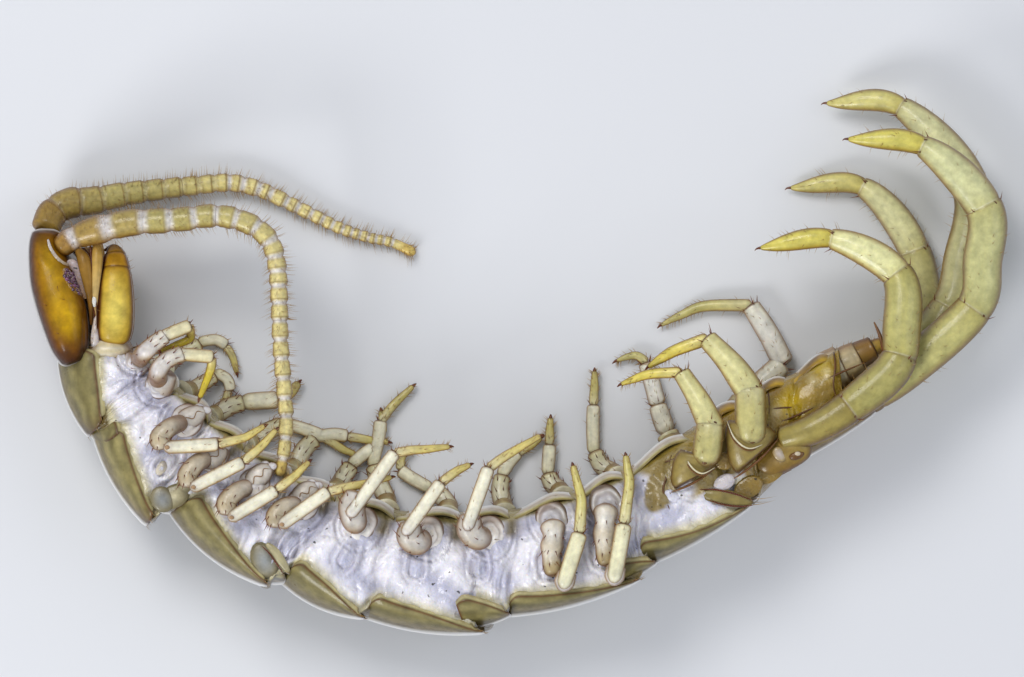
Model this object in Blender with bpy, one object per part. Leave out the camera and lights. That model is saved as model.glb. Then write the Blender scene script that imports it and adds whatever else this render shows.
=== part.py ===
"""A stone centipede lying curled on its left side, as a still museum model at life size.

All shapes are worked out in a small unit u = 1/70 mm. x runs to the right and y down, as in the photograph,
and z is the height above the floor. `placed` turns such a point into metres, with Y up and the origin in the
middle of the model's footprint. The animal's right side faces up, so "right" legs are the upper ones.
"""

import math

import bpy
import numpy as np

for old in list(bpy.data.objects):
    bpy.data.objects.remove(old, do_unlink=True)

U = 1 / 70000  # metres in one unit
CENTRE = (516.9, 363.5)  # the point of the picture that stands over the origin
MID = 80.0  # height of the trunk's plane of symmetry
GAP = 2.4  # between neighbouring nodes


def placed(points):
    """Points in units, as an (n, 3) array, to metres. Whatever would sink below the floor is cut flat."""
    p = np.array(points, float)
    return np.stack(
        [(p[:, 0] - CENTRE[0]) * U, (CENTRE[1] - p[:, 1]) * U, np.maximum(p[:, 2], 0) * U], 1
    )


def material(name, colour, roughness):
    m = bpy.data.materials.new(name)
    m.use_nodes = True
    m.node_tree.nodes["Principled BSDF"].inputs["Base Color"].default_value = (*colour, 1)
    m.node_tree.nodes["Principled BSDF"].inputs["Roughness"].default_value = roughness
    m.diffuse_color = (*colour, 1)
    return m


SHELL = {
    "head_shell": material("head_shell", (0.42, 0.20, 0.03), 0.25),
    "eye": material("eye", (0.06, 0.03, 0.05), 0.2),
    "mouth": material("mouth", (0.70, 0.58, 0.35), 0.4),
    "forcipule": material("forcipule", (0.65, 0.40, 0.05), 0.25),
    "antenna": material("antenna", (0.55, 0.45, 0.14), 0.4),
    "trunk": material("trunk", (0.62, 0.58, 0.50), 0.35),
    "last_trunk": material("last_trunk", (0.50, 0.33, 0.06), 0.3),
    "leg": material("leg", (0.72, 0.62, 0.34), 0.35),
    "last_leg": material("last_leg", (0.66, 0.56, 0.22), 0.3),
}


def loft(name, slot, rings):
    """One closed body through rings of equal length, each end closed by a fan round its middle."""
    rings = [np.asarray(r, float) for r in rings]
    n = len(rings[0])
    points = np.vstack([*rings, rings[0].mean(0), rings[-1].mean(0)])
    first, last = len(points) - 2, len(points) - 1
    faces = []
    for j in range(len(rings) - 1):
        for i in range(n):
            k = (i + 1) % n
            a, b, c, d = j * n + i, j * n + k, (j + 1) * n + k, (j + 1) * n + i
            faces += [(a, b, c), (a, c, d)]
    for i in range(n):
        k = (i + 1) % n
        faces.append((first, k, i))
        faces.append((last, (len(rings) - 1) * n + i, (len(rings) - 1) * n + k))
    where = placed(points)
    a, b, c = (where[[f[i] for f in faces]] for i in range(3))
    if (a * np.cross(b, c)).sum() < 0:
        faces = [f[::-1] for f in faces]
    mesh = bpy.data.meshes.new(name)
    mesh.from_pydata(where.tolist(), [], faces)
    mesh.materials.append(SHELL[slot])
    made = bpy.data.objects.new(name, mesh)
    bpy.context.scene.collection.objects.link(made)
    return made


def spline(knots, t):
    """A smooth curve through knots at t = 0, 1, 2 and so on (Catmull-Rom), read at the values t."""
    k = np.asarray(knots, float)
    k = np.vstack([2 * k[0] - k[1], k, 2 * k[-1] - k[-2]])
    t = np.clip(np.asarray(t, float), 0, len(k) - 3)
    i = np.minimum(t.astype(int), len(k) - 4)
    f = (t - i)[..., None]
    a, b, c, d = k[i], k[i + 1], k[i + 2], k[i + 3]
    return b + 0.5 * f * (c - a + f * (2 * a - 5 * b + 4 * c - d + f * (3 * (b - c) + d - a)))


def unit(v):
    return v / np.linalg.norm(v)


# ---- trunk: sections between the back (D) and the belly (V), one knot at each border of two segments ----

BACK = [(63, 374), (84, 426), (93, 441), (146, 522), (169, 520), (258, 588), (283, 590), (362, 621), (479, 634)]
BACK += [(507, 622), (630, 588), (652, 569), (748, 511), (763, 496), (795, 465), (846, 430)]
BELLY = [(137, 357), (156, 364), (180, 388), (213, 415), (250, 444), (294, 471), (340, 493), (397, 510), (462, 512)]
BELLY += [(520, 508), (581, 488), (632, 466), (695, 426), (748, 395), (795, 373), (838, 348)]
HALF = [44, 52, 56, 60, 62, 64, 65, 66, 67, 67, 66, 63, 58, 53, 47, 42]
HEIGHT = [72, 73, 74, 76, 78] + [MID] * 11

# half a section, from the belly to the back: q along the height, w the share of the half-width
PROFILE = [(-1, 0.25), (-0.97, 0.58), (-0.86, 0.74), (-0.68, 0.87), (-0.4, 0.97), (-0.1, 1.0), (0.18, 0.99)]
PROFILE += [(0.42, 0.93), (0.47, 1.0), (0.68, 0.86), (0.86, 0.6), (0.97, 0.28)]
PROFILE = np.array(PROFILE)
MARGIN = 0.45  # q of the tergite's side margin


def section(t):
    """Middle point, direction from belly to back, height and half-width of the trunk at t."""
    back, belly = spline(BACK, t), spline(BELLY, t)
    tall = np.linalg.norm(back - belly, axis=-1)
    wide = spline(np.array(HALF)[:, None], t)[..., 0]
    high = spline(np.array(HEIGHT)[:, None], t)[..., 0]
    return (back + belly) / 2, (back - belly) / tall[..., None], tall, wide, high


def trunk_ring(t, grow=1.0, plate=0.0, shift=0.0, lip=0.0):
    """A section of the trunk: its flesh `grow` times as wide, its back plate `plate` units out and `lip` units on."""
    mid, up, tall, wide, high = (np.asarray(v)[0] for v in section(np.array([t])))
    along = np.array([up[1], -up[0]])  # in the picture, towards the tail
    q, w = PROFILE.T
    is_plate = np.clip((q - MARGIN) / 0.05, 0, 1)
    out = q * tall / 2 + plate * is_plate * np.clip((q - 0.4) * 1.8, 0, 1)
    side = w * (wide * np.where(is_plate > 0, 1, grow) + plate * is_plate * 0.5)
    move = shift + lip * np.clip((q - MARGIN + 0.05) / 0.3, 0, 1)
    flat = mid + np.outer(out, up) + np.outer(move, along)
    near = np.column_stack([flat, high + side])
    far = np.column_stack([flat, high - side])[::-1]
    return np.vstack([near, far])


LONG = (1, 3, 5, 7, 8, 10, 12, 14)  # segments whose back plate is a long one
for k in range(1, 16):
    lip = 5.0 if k < 15 else 0.0
    front_lip = 5.0 if k > 1 else 0.0
    raised = 3.0 if k in LONG else 0.5
    step = GAP / 2
    rings = [
        trunk_ring(k - 1, 0.955, -5, step, front_lip),
        trunk_ring(k - 0.8, 1.0, -3, 0, front_lip * 0.6),
        trunk_ring(k - 0.5, 1.02, raised * 0.3, 0, 0),
        trunk_ring(k - 0.2, 1.0, raised * 0.7, 0, lip * 0.6),
        trunk_ring(k, 0.955, raised, -step, lip),
    ]
    loft(f"segment_{k:02d}", "trunk" if k < 14 else "last_trunk", rings)

# ---- the trunk's side as a height over the picture, for the legs to stand on ----

T_GRID, Q_GRID = np.meshgrid(np.linspace(0, 15, 1501), np.linspace(-0.97, 0.4, 120), indexing="ij")
_mid, _up, _tall, _wide, _high = section(T_GRID[:, 0])
SIDE_XY = _mid[:, None] + _up[:, None] * (Q_GRID * _tall[:, None] / 2)[..., None]
SIDE_W = np.interp(Q_GRID, PROFILE[:, 0], PROFILE[:, 1]) * _wide[:, None] * 1.02


def side_height(x, y, side):
    """Height of the trunk's right (side = 1) or left (side = -1) flank over a point of the picture."""
    d = (SIDE_XY[..., 0] - x) ** 2 + (SIDE_XY[..., 1] - y) ** 2
    at = np.unravel_index(np.argmin(d), d.shape)
    return _high[at[0]] + side * SIDE_W[at]


# ---- tubes along a bent path ----


def circle(centre, direction, first, radii, count):
    """A ring of `count` points round `centre`, across `direction`, starting on the side of `first`."""
    u = unit(first - direction * (first @ direction))
    v = np.cross(direction, u)
    a = np.arange(count) * 2 * math.pi / count
    return centre + np.outer(np.cos(a) * radii[0], u) + np.outer(np.sin(a) * radii[1], v), u


def tube(path, radii, count, first, start=None, flat=1.0):
    """Rings along a path of points. `first` is carried along without twist; `flat` is the radius across it."""
    path = np.asarray(path, float)
    steps = np.diff(path, axis=0)
    steps = steps / np.linalg.norm(steps, axis=1)[:, None]
    rings, u = [], np.asarray(first, float)
    for i, point in enumerate(path):
        if i == 0:
            way = np.asarray(start, float) if start is not None else steps[0]
        elif i == len(path) - 1:
            way = steps[-1]
        else:
            way = unit(steps[i - 1] + steps[i])
        ring, u = circle(point, unit(way), u, (radii[i], radii[i] * flat), count)
        rings.append(ring)
    return rings


# ---- legs ----
# Each leg: the middle of its coxa, the bends of the leg after it and its claw, as (x, y, height).

RIGHT = {
    1: [(146, 364), (149, 352, 146), (158, 342, 150), (176, 331, 148), (193, 327, 142), (190, 338, 134), (176, 348, 132), (160, 359, 136)],
    2: [(165, 381), (163, 368, 148), (176, 357, 152), (198, 353, 150), (215, 354, 146), (211, 366, 142), (203, 385, 140), (192, 403, 138)],
    3: [(187, 422), (170, 427, 152), (162, 440, 158), (171, 450, 160), (196, 448, 158), (220, 445, 154), (244, 438, 150), (267, 425, 146)],
    4: [(213, 457), (196, 466, 154), (189, 479, 160), (197, 488, 163), (220, 475, 161), (245, 460, 156), (262, 442, 152), (279, 424, 148)],
    5: [(254, 485), (237, 495, 154), (229, 509, 160), (237, 517, 163), (258, 502, 161), (280, 488, 157), (296, 475, 152), (312, 459, 147)],
    6: [(303, 503), (286, 509, 153), (279, 520, 159), (291, 525, 163), (309, 509, 161), (328, 492, 157), (362, 483, 150), (396, 475, 143)],
    7: [(362, 524), (352, 528, 154), (344, 510, 158), (354, 487, 160), (374, 469, 158), (396, 452, 152), (426, 448, 146), (455, 446, 140)],
    8: [(428, 535), (414, 544, 154), (402, 548, 160), (409, 534, 165), (424, 508, 162), (439, 480, 156), (457, 470, 150), (474, 462, 145)],
    9: [(491, 533), (476, 541, 154), (464, 545, 160), (468, 528, 165), (478, 495, 162), (489, 463, 156), (516, 448, 148), (545, 433, 140)],
    10: [(553, 520), (549, 544, 152), (551, 570, 156), (561, 584, 164), (572, 558, 169), (578, 532, 165), (580, 498, 158), (571, 461, 152)],
    11: [(607, 504), (600, 530, 152), (601, 560, 155), (611, 577, 163), (619, 550, 168), (622, 523, 164), (627, 487, 157), (625, 452, 151)],
    12: [(682, 480), (690, 466, 150), (704, 440, 154), (713, 418, 154), (696, 392, 150), (678, 370, 146), (652, 373, 142), (617, 383, 138)],
    13: [(738, 466), (744, 450, 146), (750, 415, 150), (757, 386, 150), (731, 358, 146), (703, 338, 142), (676, 350, 138), (645, 368, 134)],
    14: [(787, 446), (812, 428, 141), (848, 404, 140), (893, 366, 136), (900, 330, 132), (896, 274, 126), (829, 239, 120), (757, 249, 114)],
}
# The left legs lie under the trunk, and come out past the belly.
LEFT = {
    1: [(160, 369), (168, 362, 14), (184, 352, 11), (200, 343, 10), (214, 338, 9), (226, 346, 8), (232, 360, 8), (236, 376, 8)],
    2: [(178, 394), (190, 390, 14), (202, 383, 11), (215, 375, 9), (227, 378, 9), (229, 392, 8), (219, 407, 8), (209, 421, 9)],
    3: [(204, 420), (216, 414, 14), (228, 407, 10), (245, 402, 8), (262, 401, 8), (278, 400, 8), (290, 392, 8), (300, 380, 8)],
    4: [(241, 447), (252, 441, 14), (266, 432, 10), (284, 424, 8), (305, 430, 8), (322, 437, 8), (342, 450, 8), (360, 458, 8)],
    5: [(285, 476), (295, 466, 14), (303, 450, 10), (316, 438, 8), (332, 434, 8), (348, 437, 8), (370, 441, 8), (391, 443, 8)],
    6: [(330, 497), (338, 486, 14), (344, 476, 10), (352, 464, 8), (362, 455, 8), (374, 447, 8), (382, 430, 8), (380, 408, 8)],
    7: [(386, 513), (386, 500, 14), (378, 482, 10), (372, 464, 8), (378, 440, 8), (380, 420, 8), (396, 402, 8), (415, 384, 8)],
    8: [(447, 519), (448, 506, 14), (440, 496, 10), (428, 488, 8), (412, 480, 8), (398, 470, 8), (402, 456, 8), (414, 447, 8)],
    9: [(505, 517), (503, 505, 14), (500, 490, 10), (503, 474, 8), (509, 462, 8), (519, 452, 8), (531, 446, 8), (544, 436, 8)],
    10: [(564, 500), (559, 490, 14), (552, 484, 10), (548, 472, 8), (549, 458, 8), (550, 444, 8), (550, 430, 8), (551, 415, 8)],
    11: [(620, 480), (612, 472, 14), (602, 466, 10), (594, 450, 8), (593, 428, 8), (594, 404, 8), (595, 386, 8), (595, 368, 8)],
    12: [(675, 448), (666, 438, 16), (661, 424, 10), (658, 404, 8), (653, 382, 8), (646, 363, 9), (632, 356, 8), (616, 362, 8)],
    13: [(734, 413), (744, 397, 20), (762, 378, 16), (783, 364, 14), (768, 332, 13), (752, 305, 12), (706, 306, 9), (659, 326, 7)],
    14: [(787, 426), (815, 418, 21), (850, 404, 18), (893, 368, 17), (922, 330, 17), (916, 250, 16), (864, 186, 13), (789, 187, 9)],
}
# thickness at the coxa's foot, the bends and the claw, as a radius
THIN = [15, 9.5, 10.5, 9, 7, 6.2, 4.6, 1.4]
THICK = [16, 15, 16, 13.5, 11.5, 10, 6.5, 1.5]
HEAVY = [17, 18, 19, 19, 19, 17.5, 12.5, 1.6]
LAST = [17, 18, 19, 20, 20, 18, 12.5, 1.6]


def leg(name, joints, radii, side, slot, finer=2):
    """A leg standing on the trunk's flank: its foot ring follows the flank, GAP away from it."""
    x, y = joints[0][:2]
    a = np.arange(8) * 2 * math.pi / 8
    foot = np.column_stack([x + np.cos(a) * radii[0], y + side * np.sin(a) * radii[0] * 0.85, 0 * a])
    for p in foot:
        p[2] = side_height(p[0], p[1], side) + side * GAP
    z = side_height(x, y, side)
    heel = [x, y, z + side * (GAP + 6)]
    dome = [x + (joints[1][0] - x) * 0.35, y + (joints[1][1] - y) * 0.35, z + side * (GAP + 12)]
    knots = [heel, dome, *joints[1:]]
    wide = [radii[0] * 0.82, (radii[0] + radii[1]) * 0.42, *radii[1:]]
    t = np.linspace(0, len(knots) - 1, (len(knots) - 1) * finer + 1)[1:]
    path = spline(knots, t)
    thick = np.interp(t, range(len(wide)), wide)
    if side < 0:  # the feet of the left legs are cut flat by the floor, never folded through it
        path[:, 2] = np.maximum(path[:, 2], thick * 0.55)
    rings = tube([heel, *path], [wide[0], *thick], 8, (1, 0, 0), (0, 0, side))
    return loft(name, slot, [foot, *rings])


def kind(k):
    return (THIN if k < 12 else THICK if k < 14 else HEAVY), ("leg" if k < 12 else "last_leg")


for k in range(1, 15):
    radii, slot = kind(k)
    leg(f"leg_right_{k:02d}", RIGHT[k], radii, 1, slot)
    leg(f"leg_left_{k:02d}", LEFT[k], radii if k > 13 else THIN if k < 12 else [13, 8.5, 10, 10, 9, 8, 5.5, 1.4], -1, slot)

# The last pair stands side by side on the rear face of segment 15.
_m, _u, _t, _w, _h = (v[0] for v in section(np.array([15.0])))
TAIL = np.array([_u[1], -_u[0], 0])
LAST_LEGS = {
    "right": (20, [(876, 393, 100), (912, 366, 101), (974, 308, 104), (982.5, 262, 106), (983, 206, 108), (922, 146, 106), (845, 140, 102)]),
    "left": (-20, [(872, 392, 60), (906, 360, 58), (950, 308, 54), (964, 262, 50), (972, 186, 44), (902, 106, 34), (825, 102, 22)]),
}
for side, (off, joints) in LAST_LEGS.items():
    foot = np.array([*(_m + _u * 12), MID + off]) + TAIL * (GAP * 0.9)
    knots = [foot, *joints]
    wide = [15, 17, 19, 19, 20, 18.5, 12.5, 1.6]
    t = np.linspace(0, len(knots) - 1, (len(knots) - 1) * 2 + 1)
    rings = tube(spline(knots, t), np.interp(t, range(len(wide)), wide), 8, (0, 0, 1), TAIL)
    loft(f"leg_{side}_15", "last_leg", rings)

# ---- terminal segment: genital plates and telson, on the belly half of the same face ----
start = np.array([*(_m - _u * 24), MID]) + TAIL * (GAP * 0.9)
path = spline([start, start + TAIL * 14, start + TAIL * 28 + (0, -4, 0), (877, 338, MID), (888, 331, MID)], np.linspace(0, 4, 9))
size = np.interp(np.linspace(0, 4, 9), range(5), [15, 17, 15, 8, 3])
loft("terminal_segment", "last_trunk", tube(path, size, 12, (0, 0, 1), TAIL))

# ---- head ----
H_BACK = [(38, 230), (29.5, 243), (27.5, 262), (30, 285), (37, 308), (45, 331), (55, 352), (68, 367)]
H_BELLY = [(57, 232), (61, 247), (68, 265), (79, 287), (87, 306), (90.5, 328), (88, 346), (82, 360)]
H_HALF = [34, 50, 60, 66, 69, 69, 64, 50]
H_MID = 68.0


def head_ring(t, share=1.0, count=20):
    back, belly = spline(H_BACK, [t])[0], spline(H_BELLY, [t])[0]
    wide = spline(np.array(H_HALF)[:, None], [t])[0, 0] * share
    a = np.arange(count) * 2 * math.pi / count
    across = np.sign(np.cos(a)) * np.abs(np.cos(a)) ** 0.8
    side = np.sign(np.sin(a)) * np.abs(np.sin(a)) ** 0.9
    mid, half = (back + belly) / 2, (back - belly) / 2 * share
    return np.column_stack([mid + np.outer(across, half), H_MID + side * wide])


loft("head", "head_shell", [head_ring(0, 0.6), head_ring(0.25, 0.9), *(head_ring(t) for t in np.linspace(0.7, 6.4, 9)), head_ring(7, 0.8)])

HEAD_POINTS = np.vstack([head_ring(t, 1, 360) for t in np.linspace(0, 7, 351)])


def head_height(x, y, side):
    p = HEAD_POINTS[(HEAD_POINTS[:, 2] - H_MID) * side > 0]
    at = np.argmin((p[:, 0] - x) ** 2 + (p[:, 1] - y) ** 2)
    return p[at, 2]


for side, word in ((1, "right"), (-1, "left")):  # the patch of ocelli, a thin lens on the head's side
    a = np.arange(12) * 2 * math.pi / 12
    way, across = unit(np.array([15.5, 22.5])), unit(np.array([22.5, -15.5]))
    rings = []
    for share, lift in ((1.0, 2.2), (1.0, 4.6), (0.6, 6.6)):
        xy = np.array([70.5, 281]) + np.outer(np.cos(a) * 14 * share, way) + np.outer(np.sin(a) * 4.6 * share, across)
        rings.append([(px, py, head_height(px, py, side) + side * lift) for px, py in xy])
    loft(f"ocelli_{word}", "eye", rings)

# ---- mouthparts, the segment of the forcipules and the two forcipules ----
M_FRONT = [(71, 250), (80, 262), (92, 284), (94.5, 305), (95.5, 325), (95, 340)]
M_BACK = [(102, 247), (103, 262), (101.5, 284), (99.5, 305), (99, 325), (98.5, 340)]
M_HALF = [22, 34, 40, 42, 42, 34]


def mouth_ring(t, count=16):
    f, b = spline(M_FRONT, [t])[0], spline(M_BACK, [t])[0]
    wide = np.interp(t, range(6), M_HALF)
    a = np.arange(count) * 2 * math.pi / count
    return np.column_stack([(f + b) / 2 + np.outer(np.cos(a), (b - f) / 2), 72 + np.sin(a) * wide])


loft("mouthparts", "mouth", [mouth_ring(t) for t in np.linspace(0, 5, 8)])

_m0, _u0, _t0, _w0, _h0 = (v[0] for v in section(np.array([0.0])))
NECK = np.array([_u0[1], -_u0[0]])


def neck_ring(front, back, wide, count=16):
    a = np.arange(count) * 2 * math.pi / count
    f, b = np.array(front, float), np.array(back, float)
    side = np.sign(np.sin(a)) * np.abs(np.sin(a)) ** 0.7
    return np.column_stack([(f + b) / 2 + np.outer(np.cos(a), (b - f) / 2), 72 + side * wide])


loft(
    "forcipular_segment",
    "mouth",
    [
        neck_ring((94, 350), (131, 349), 40),
        neck_ring((88, 357), (133, 352), 42),
        neck_ring(_m0 + _u0 * 22 - NECK * GAP * 0.7, _m0 - _u0 * 35 - NECK * GAP * 0.7, 36),
    ],
)

CLAW = [(113, 345.5, 30), (114, 328, 31), (118, 306, 31), (117.5, 284, 30), (113, 266, 26), (110, 254, 19), (107, 249, 12), (103, 250, 7)]
CLAW_R = [12, 18.5, 18.5, 16.5, 12, 7, 4, 1.6]
for side, word in ((1, "right"), (-1, "left")):
    t = np.linspace(0, 7, 12)
    path = spline([(x, y, 72 + side * z) for x, y, z in CLAW], t)
    loft(f"forcipule_{word}", "forcipule", tube(path, np.interp(t, range(8), CLAW_R), 10, (0, 0, 1), flat=1.0))

# ---- antennae: a string of articles, in three lengths each ----
RIGHT_ANTENNA = [(67, 240, 100), (94, 232, 112), (129, 223, 118), (159, 221, 120), (185, 219, 121), (210, 216, 122), (232, 218, 123), (255, 227, 124)]
RIGHT_ANTENNA += [(271, 243, 125), (277.5, 268, 126), (279.5, 300, 128), (281, 345, 130), (285, 395, 132), (286.5, 420, 133), (284.5, 450, 134), (279.5, 476, 135)]
LEFT_ANTENNA = [(46, 224, 50), (51, 212, 44), (67, 203, 38), (91, 200, 32), (120, 194, 27), (155, 189, 23), (191, 185, 19), (229, 182, 16)]
LEFT_ANTENNA += [(259, 189, 14), (287, 202, 12), (313, 215, 11), (340, 228, 10), (368, 237, 9), (391, 242, 8), (415, 253, 7)]


def antenna(word, knots, radii, cuts, articles, start):
    """Each article is widest past its middle and waists at its ends. A cut between two lengths is GAP wide."""
    dense = spline(knots, np.linspace(0, len(knots) - 1, 1500))
    run = np.concatenate([[0], np.cumsum(np.linalg.norm(np.diff(dense, axis=0), axis=1))])
    # articles get shorter towards the tip, all but the last one
    share = np.array(articles, float)
    edges = np.concatenate([[0], np.cumsum(share)]) / share.sum() * run[-1]
    for part, (a, b) in enumerate(zip([0, *cuts], [*cuts, len(share)]), 1):
        at, size = [], []
        for i in range(a, b):
            first = edges[i] + (GAP / 2 if i == a and a else 0)
            end = edges[i + 1] - (GAP / 2 if i == b - 1 and b < len(share) else 0)
            r = np.interp(edges[i] / run[-1], np.linspace(0, 1, len(radii)), radii)
            at += [first, (first + end) / 2]
            size += [r * 0.86, r]
        tip = b == len(share)
        at += [end]
        size += [r * 0.35 if tip else r * 0.86]
        path = np.column_stack([np.interp(at, run, dense[:, c]) for c in range(3)])
        if word == "left":
            path[:, 2] = np.maximum(path[:, 2], np.array(size) * 0.6)
        loft(f"antenna_{word}_{part}", "antenna", tube(path, size, 8, (0, 0, 1), start if part == 1 else None))


antenna("right", RIGHT_ANTENNA, [13, 12.2, 11.4, 10.6, 9.6, 8.6, 8, 7.6, 7, 5.4], (7, 16), [1.2, 1.9, 1.7, 1.5, 1.5, 1.2, 1.2, 1.1, 1.1] + [0.9] * 16 + [1.1], (1, 0, 0.15))
antenna("left", LEFT_ANTENNA, [14.5, 15, 11.5, 10, 9, 8.5, 7, 6.2, 5.2, 4.6], (7, 16), [1.2, 1.9, 1.7, 1.5, 1.5, 1.2, 1.2, 1.1, 1.1] + [0.9] * 16 + [1.5], None)
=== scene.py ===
# %% [markdown]
# # A stone centipede in Blender, from numpy surfaces
#
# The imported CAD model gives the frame: fifty-nine plain solids in the right places. This lesson dresses them.
# Every piece is a surface that numpy works out, either a grid of two parameters or a profile carried along a
# path. All shapes are thought of in a small unit, u = 1/70 mm: x to the right, y down, z up from the floor.

import bpy
import numpy as np
from mathutils import Matrix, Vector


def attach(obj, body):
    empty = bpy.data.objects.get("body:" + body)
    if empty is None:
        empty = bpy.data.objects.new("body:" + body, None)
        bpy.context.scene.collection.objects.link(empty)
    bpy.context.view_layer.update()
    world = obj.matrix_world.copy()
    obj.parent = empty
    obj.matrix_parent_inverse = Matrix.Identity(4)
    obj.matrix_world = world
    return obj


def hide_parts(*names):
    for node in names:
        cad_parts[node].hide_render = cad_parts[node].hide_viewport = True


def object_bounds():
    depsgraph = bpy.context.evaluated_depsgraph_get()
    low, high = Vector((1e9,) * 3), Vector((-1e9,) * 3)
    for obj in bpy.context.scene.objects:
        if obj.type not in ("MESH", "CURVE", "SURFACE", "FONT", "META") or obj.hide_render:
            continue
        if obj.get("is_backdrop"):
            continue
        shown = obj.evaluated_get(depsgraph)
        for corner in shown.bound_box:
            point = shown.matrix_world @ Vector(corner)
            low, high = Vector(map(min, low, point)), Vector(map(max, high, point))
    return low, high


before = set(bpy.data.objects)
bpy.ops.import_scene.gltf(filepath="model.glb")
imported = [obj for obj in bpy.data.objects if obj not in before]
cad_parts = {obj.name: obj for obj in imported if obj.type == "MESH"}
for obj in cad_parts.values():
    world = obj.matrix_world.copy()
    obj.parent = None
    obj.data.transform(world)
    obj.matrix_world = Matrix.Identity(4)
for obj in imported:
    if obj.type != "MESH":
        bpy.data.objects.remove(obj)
cad_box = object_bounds()
U = 1 / 70000  # one unit in metres
CENTRE = (516.9, 363.5)  # the middle of the footprint in units
rng = np.random.default_rng(7)
print("nodes in the frame:", len(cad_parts))

# %% [markdown]
# ## Placing points and drawing curves
#
# `metres` places points of the little unit in the scene. Whatever would sink below the floor is pressed flat
# on it, because a soft leg that carries weight is flat there too. `spline` draws smooth curves through a few
# knots, so that a shape needs only the points that say something about it.

# %% Points and curves


def metres(p):
    """x and y count from the centre of the footprint, y is turned upwards, z is never below the floor."""
    x, y, z = np.moveaxis(np.asarray(p, float), -1, 0)
    return np.stack([(x - CENTRE[0]) * U, (CENTRE[1] - y) * U, np.maximum(z, 0) * U], -1)


def spline(knots, t):
    """Catmull-Rom: between knots b and c the curve leaves along c - a and arrives along d - b."""
    k = np.asarray(knots, float)
    k = k[:, None] if k.ndim == 1 else k
    k = np.vstack([2 * k[0] - k[1], k, 2 * k[-1] - k[-2]])
    t = np.clip(np.asarray(t, float), 0, len(k) - 3)
    i = np.minimum(t.astype(int), len(k) - 4)
    f = (t - i)[..., None]
    a, b, c, d = k[i], k[i + 1], k[i + 2], k[i + 3]
    return b + 0.5 * f * (c - a + f * (2 * a - 5 * b + 4 * c - d + f * (3 * (b - c) + d - a)))


def along(knots, count):
    """count points of the curve, from the first knot to the last."""
    return spline(knots, np.linspace(0, len(knots) - 1, count))


def measured(knots):
    """4000 points of a curve, and how far each lies along it: the sum of the steps before it."""
    dense = along(knots, 4000)
    return dense, np.concatenate([[0], np.cumsum(np.linalg.norm(np.diff(dense, axis=0), axis=1))])


def at_run(dense, run, at):
    """The points that lie at the distances `at` along a measured curve."""
    return np.column_stack([np.interp(at, run, dense[:, c]) for c in range(3)])


def unit(v):
    """v divided by its length."""
    v = np.asarray(v, float)
    return v / np.maximum(np.linalg.norm(v, axis=-1, keepdims=True), 1e-12)


def angles(count):
    """A full turn in equal steps, without the last one, which would be the first again."""
    return np.arange(count) * 2 * np.pi / count


print("one unit is", round(U * 1e6, 2), "micrometres")

# %% [markdown]
# ## Shares and colours
#
# A pattern is a share between 0 and 1 at every point, and a colour is laid over another by that share. Five
# small formulas make all shares here: a soft step, a bell, a stronger or weaker power, the thickness of a
# thread with two thin ends, and the quarter circle that closes the end of a tube.

# %% Shares and colours


def smooth(x, a, b):
    """0 below a, 1 above b, and 3x^2 - 2x^3 in between."""
    f = np.clip((np.asarray(x, float) - a) / (b - a), 0, 1)
    return f * f * (3 - 2 * f)


def bell(x, at, spread):
    """exp(-(x - at)^2 / spread): 1 where x is `at`, and less on both sides."""
    return np.exp(-((x - at) ** 2) / spread)


def power(v, p):
    """|v|^p with the sign of v: a circle becomes a rounded box where p is below 1."""
    return np.sign(v) * np.abs(v) ** p


def spindle(count, start=0.08, stop=3.06):
    """sqrt(sin) from start to stop: the thickness of a thread that is thin at both ends."""
    return np.sqrt(np.clip(np.sin(np.linspace(start, stop, count)), 0.05, 1))


def closed(x, share, p=2):
    """sqrt(1 - share (1 - x)^p) up to x = 1, then 1: the end of a tube, x being how far in a ring lies."""
    return np.sqrt(1 - share * np.clip(1 - x, 0, 1) ** p)


def mix(a, b, f):
    """a where f is 0, b where f is 1, for colours or points."""
    f = np.asarray(f, float)[..., None]
    return np.asarray(a, float) * (1 - f) + np.asarray(b, float) * f


def paint(r, g, b):
    """A colour as a screen shows it (0 to 255), turned into the linear light that shaders add up."""
    c = np.array([r, g, b]) / 255
    return np.where(c <= 0.04045, c / 12.92, ((c + 0.055) / 1.055) ** 2.4)


def layers(tone, *coats):
    """Lays coats over a tone, one after another. Each is a colour and the share of it at every point."""
    for colour, share in coats:
        tone = mix(tone, paint(*colour) if isinstance(colour, tuple) else colour, share)
    return tone


print("a middle grey in linear light:", np.round(paint(128, 128, 128), 3))

# %% [markdown]
# ## Collecting surfaces
#
# One leg is a dozen closed skins: articles, spurs, bristles and a claw. `Heap` collects them as arrays and
# turns them into one mesh. Each skin is checked by its signed volume, the sum of a . (b x c) over its faces,
# and turned over where that is wrong, so all faces point outwards. Each point carries a colour, `tint`.

# %% The heap of surfaces


def grid_faces(rows, cols, closed_rows):
    """The quads of a grid of points. closed_rows joins the last column to the first."""
    j, i = np.meshgrid(np.arange(rows - 1), np.arange(cols if closed_rows else cols - 1), indexing="ij")
    k = (i + 1) % cols
    return np.stack([j * cols + i, j * cols + k, (j + 1) * cols + k, (j + 1) * cols + i], -1).reshape(-1, 4)


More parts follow.
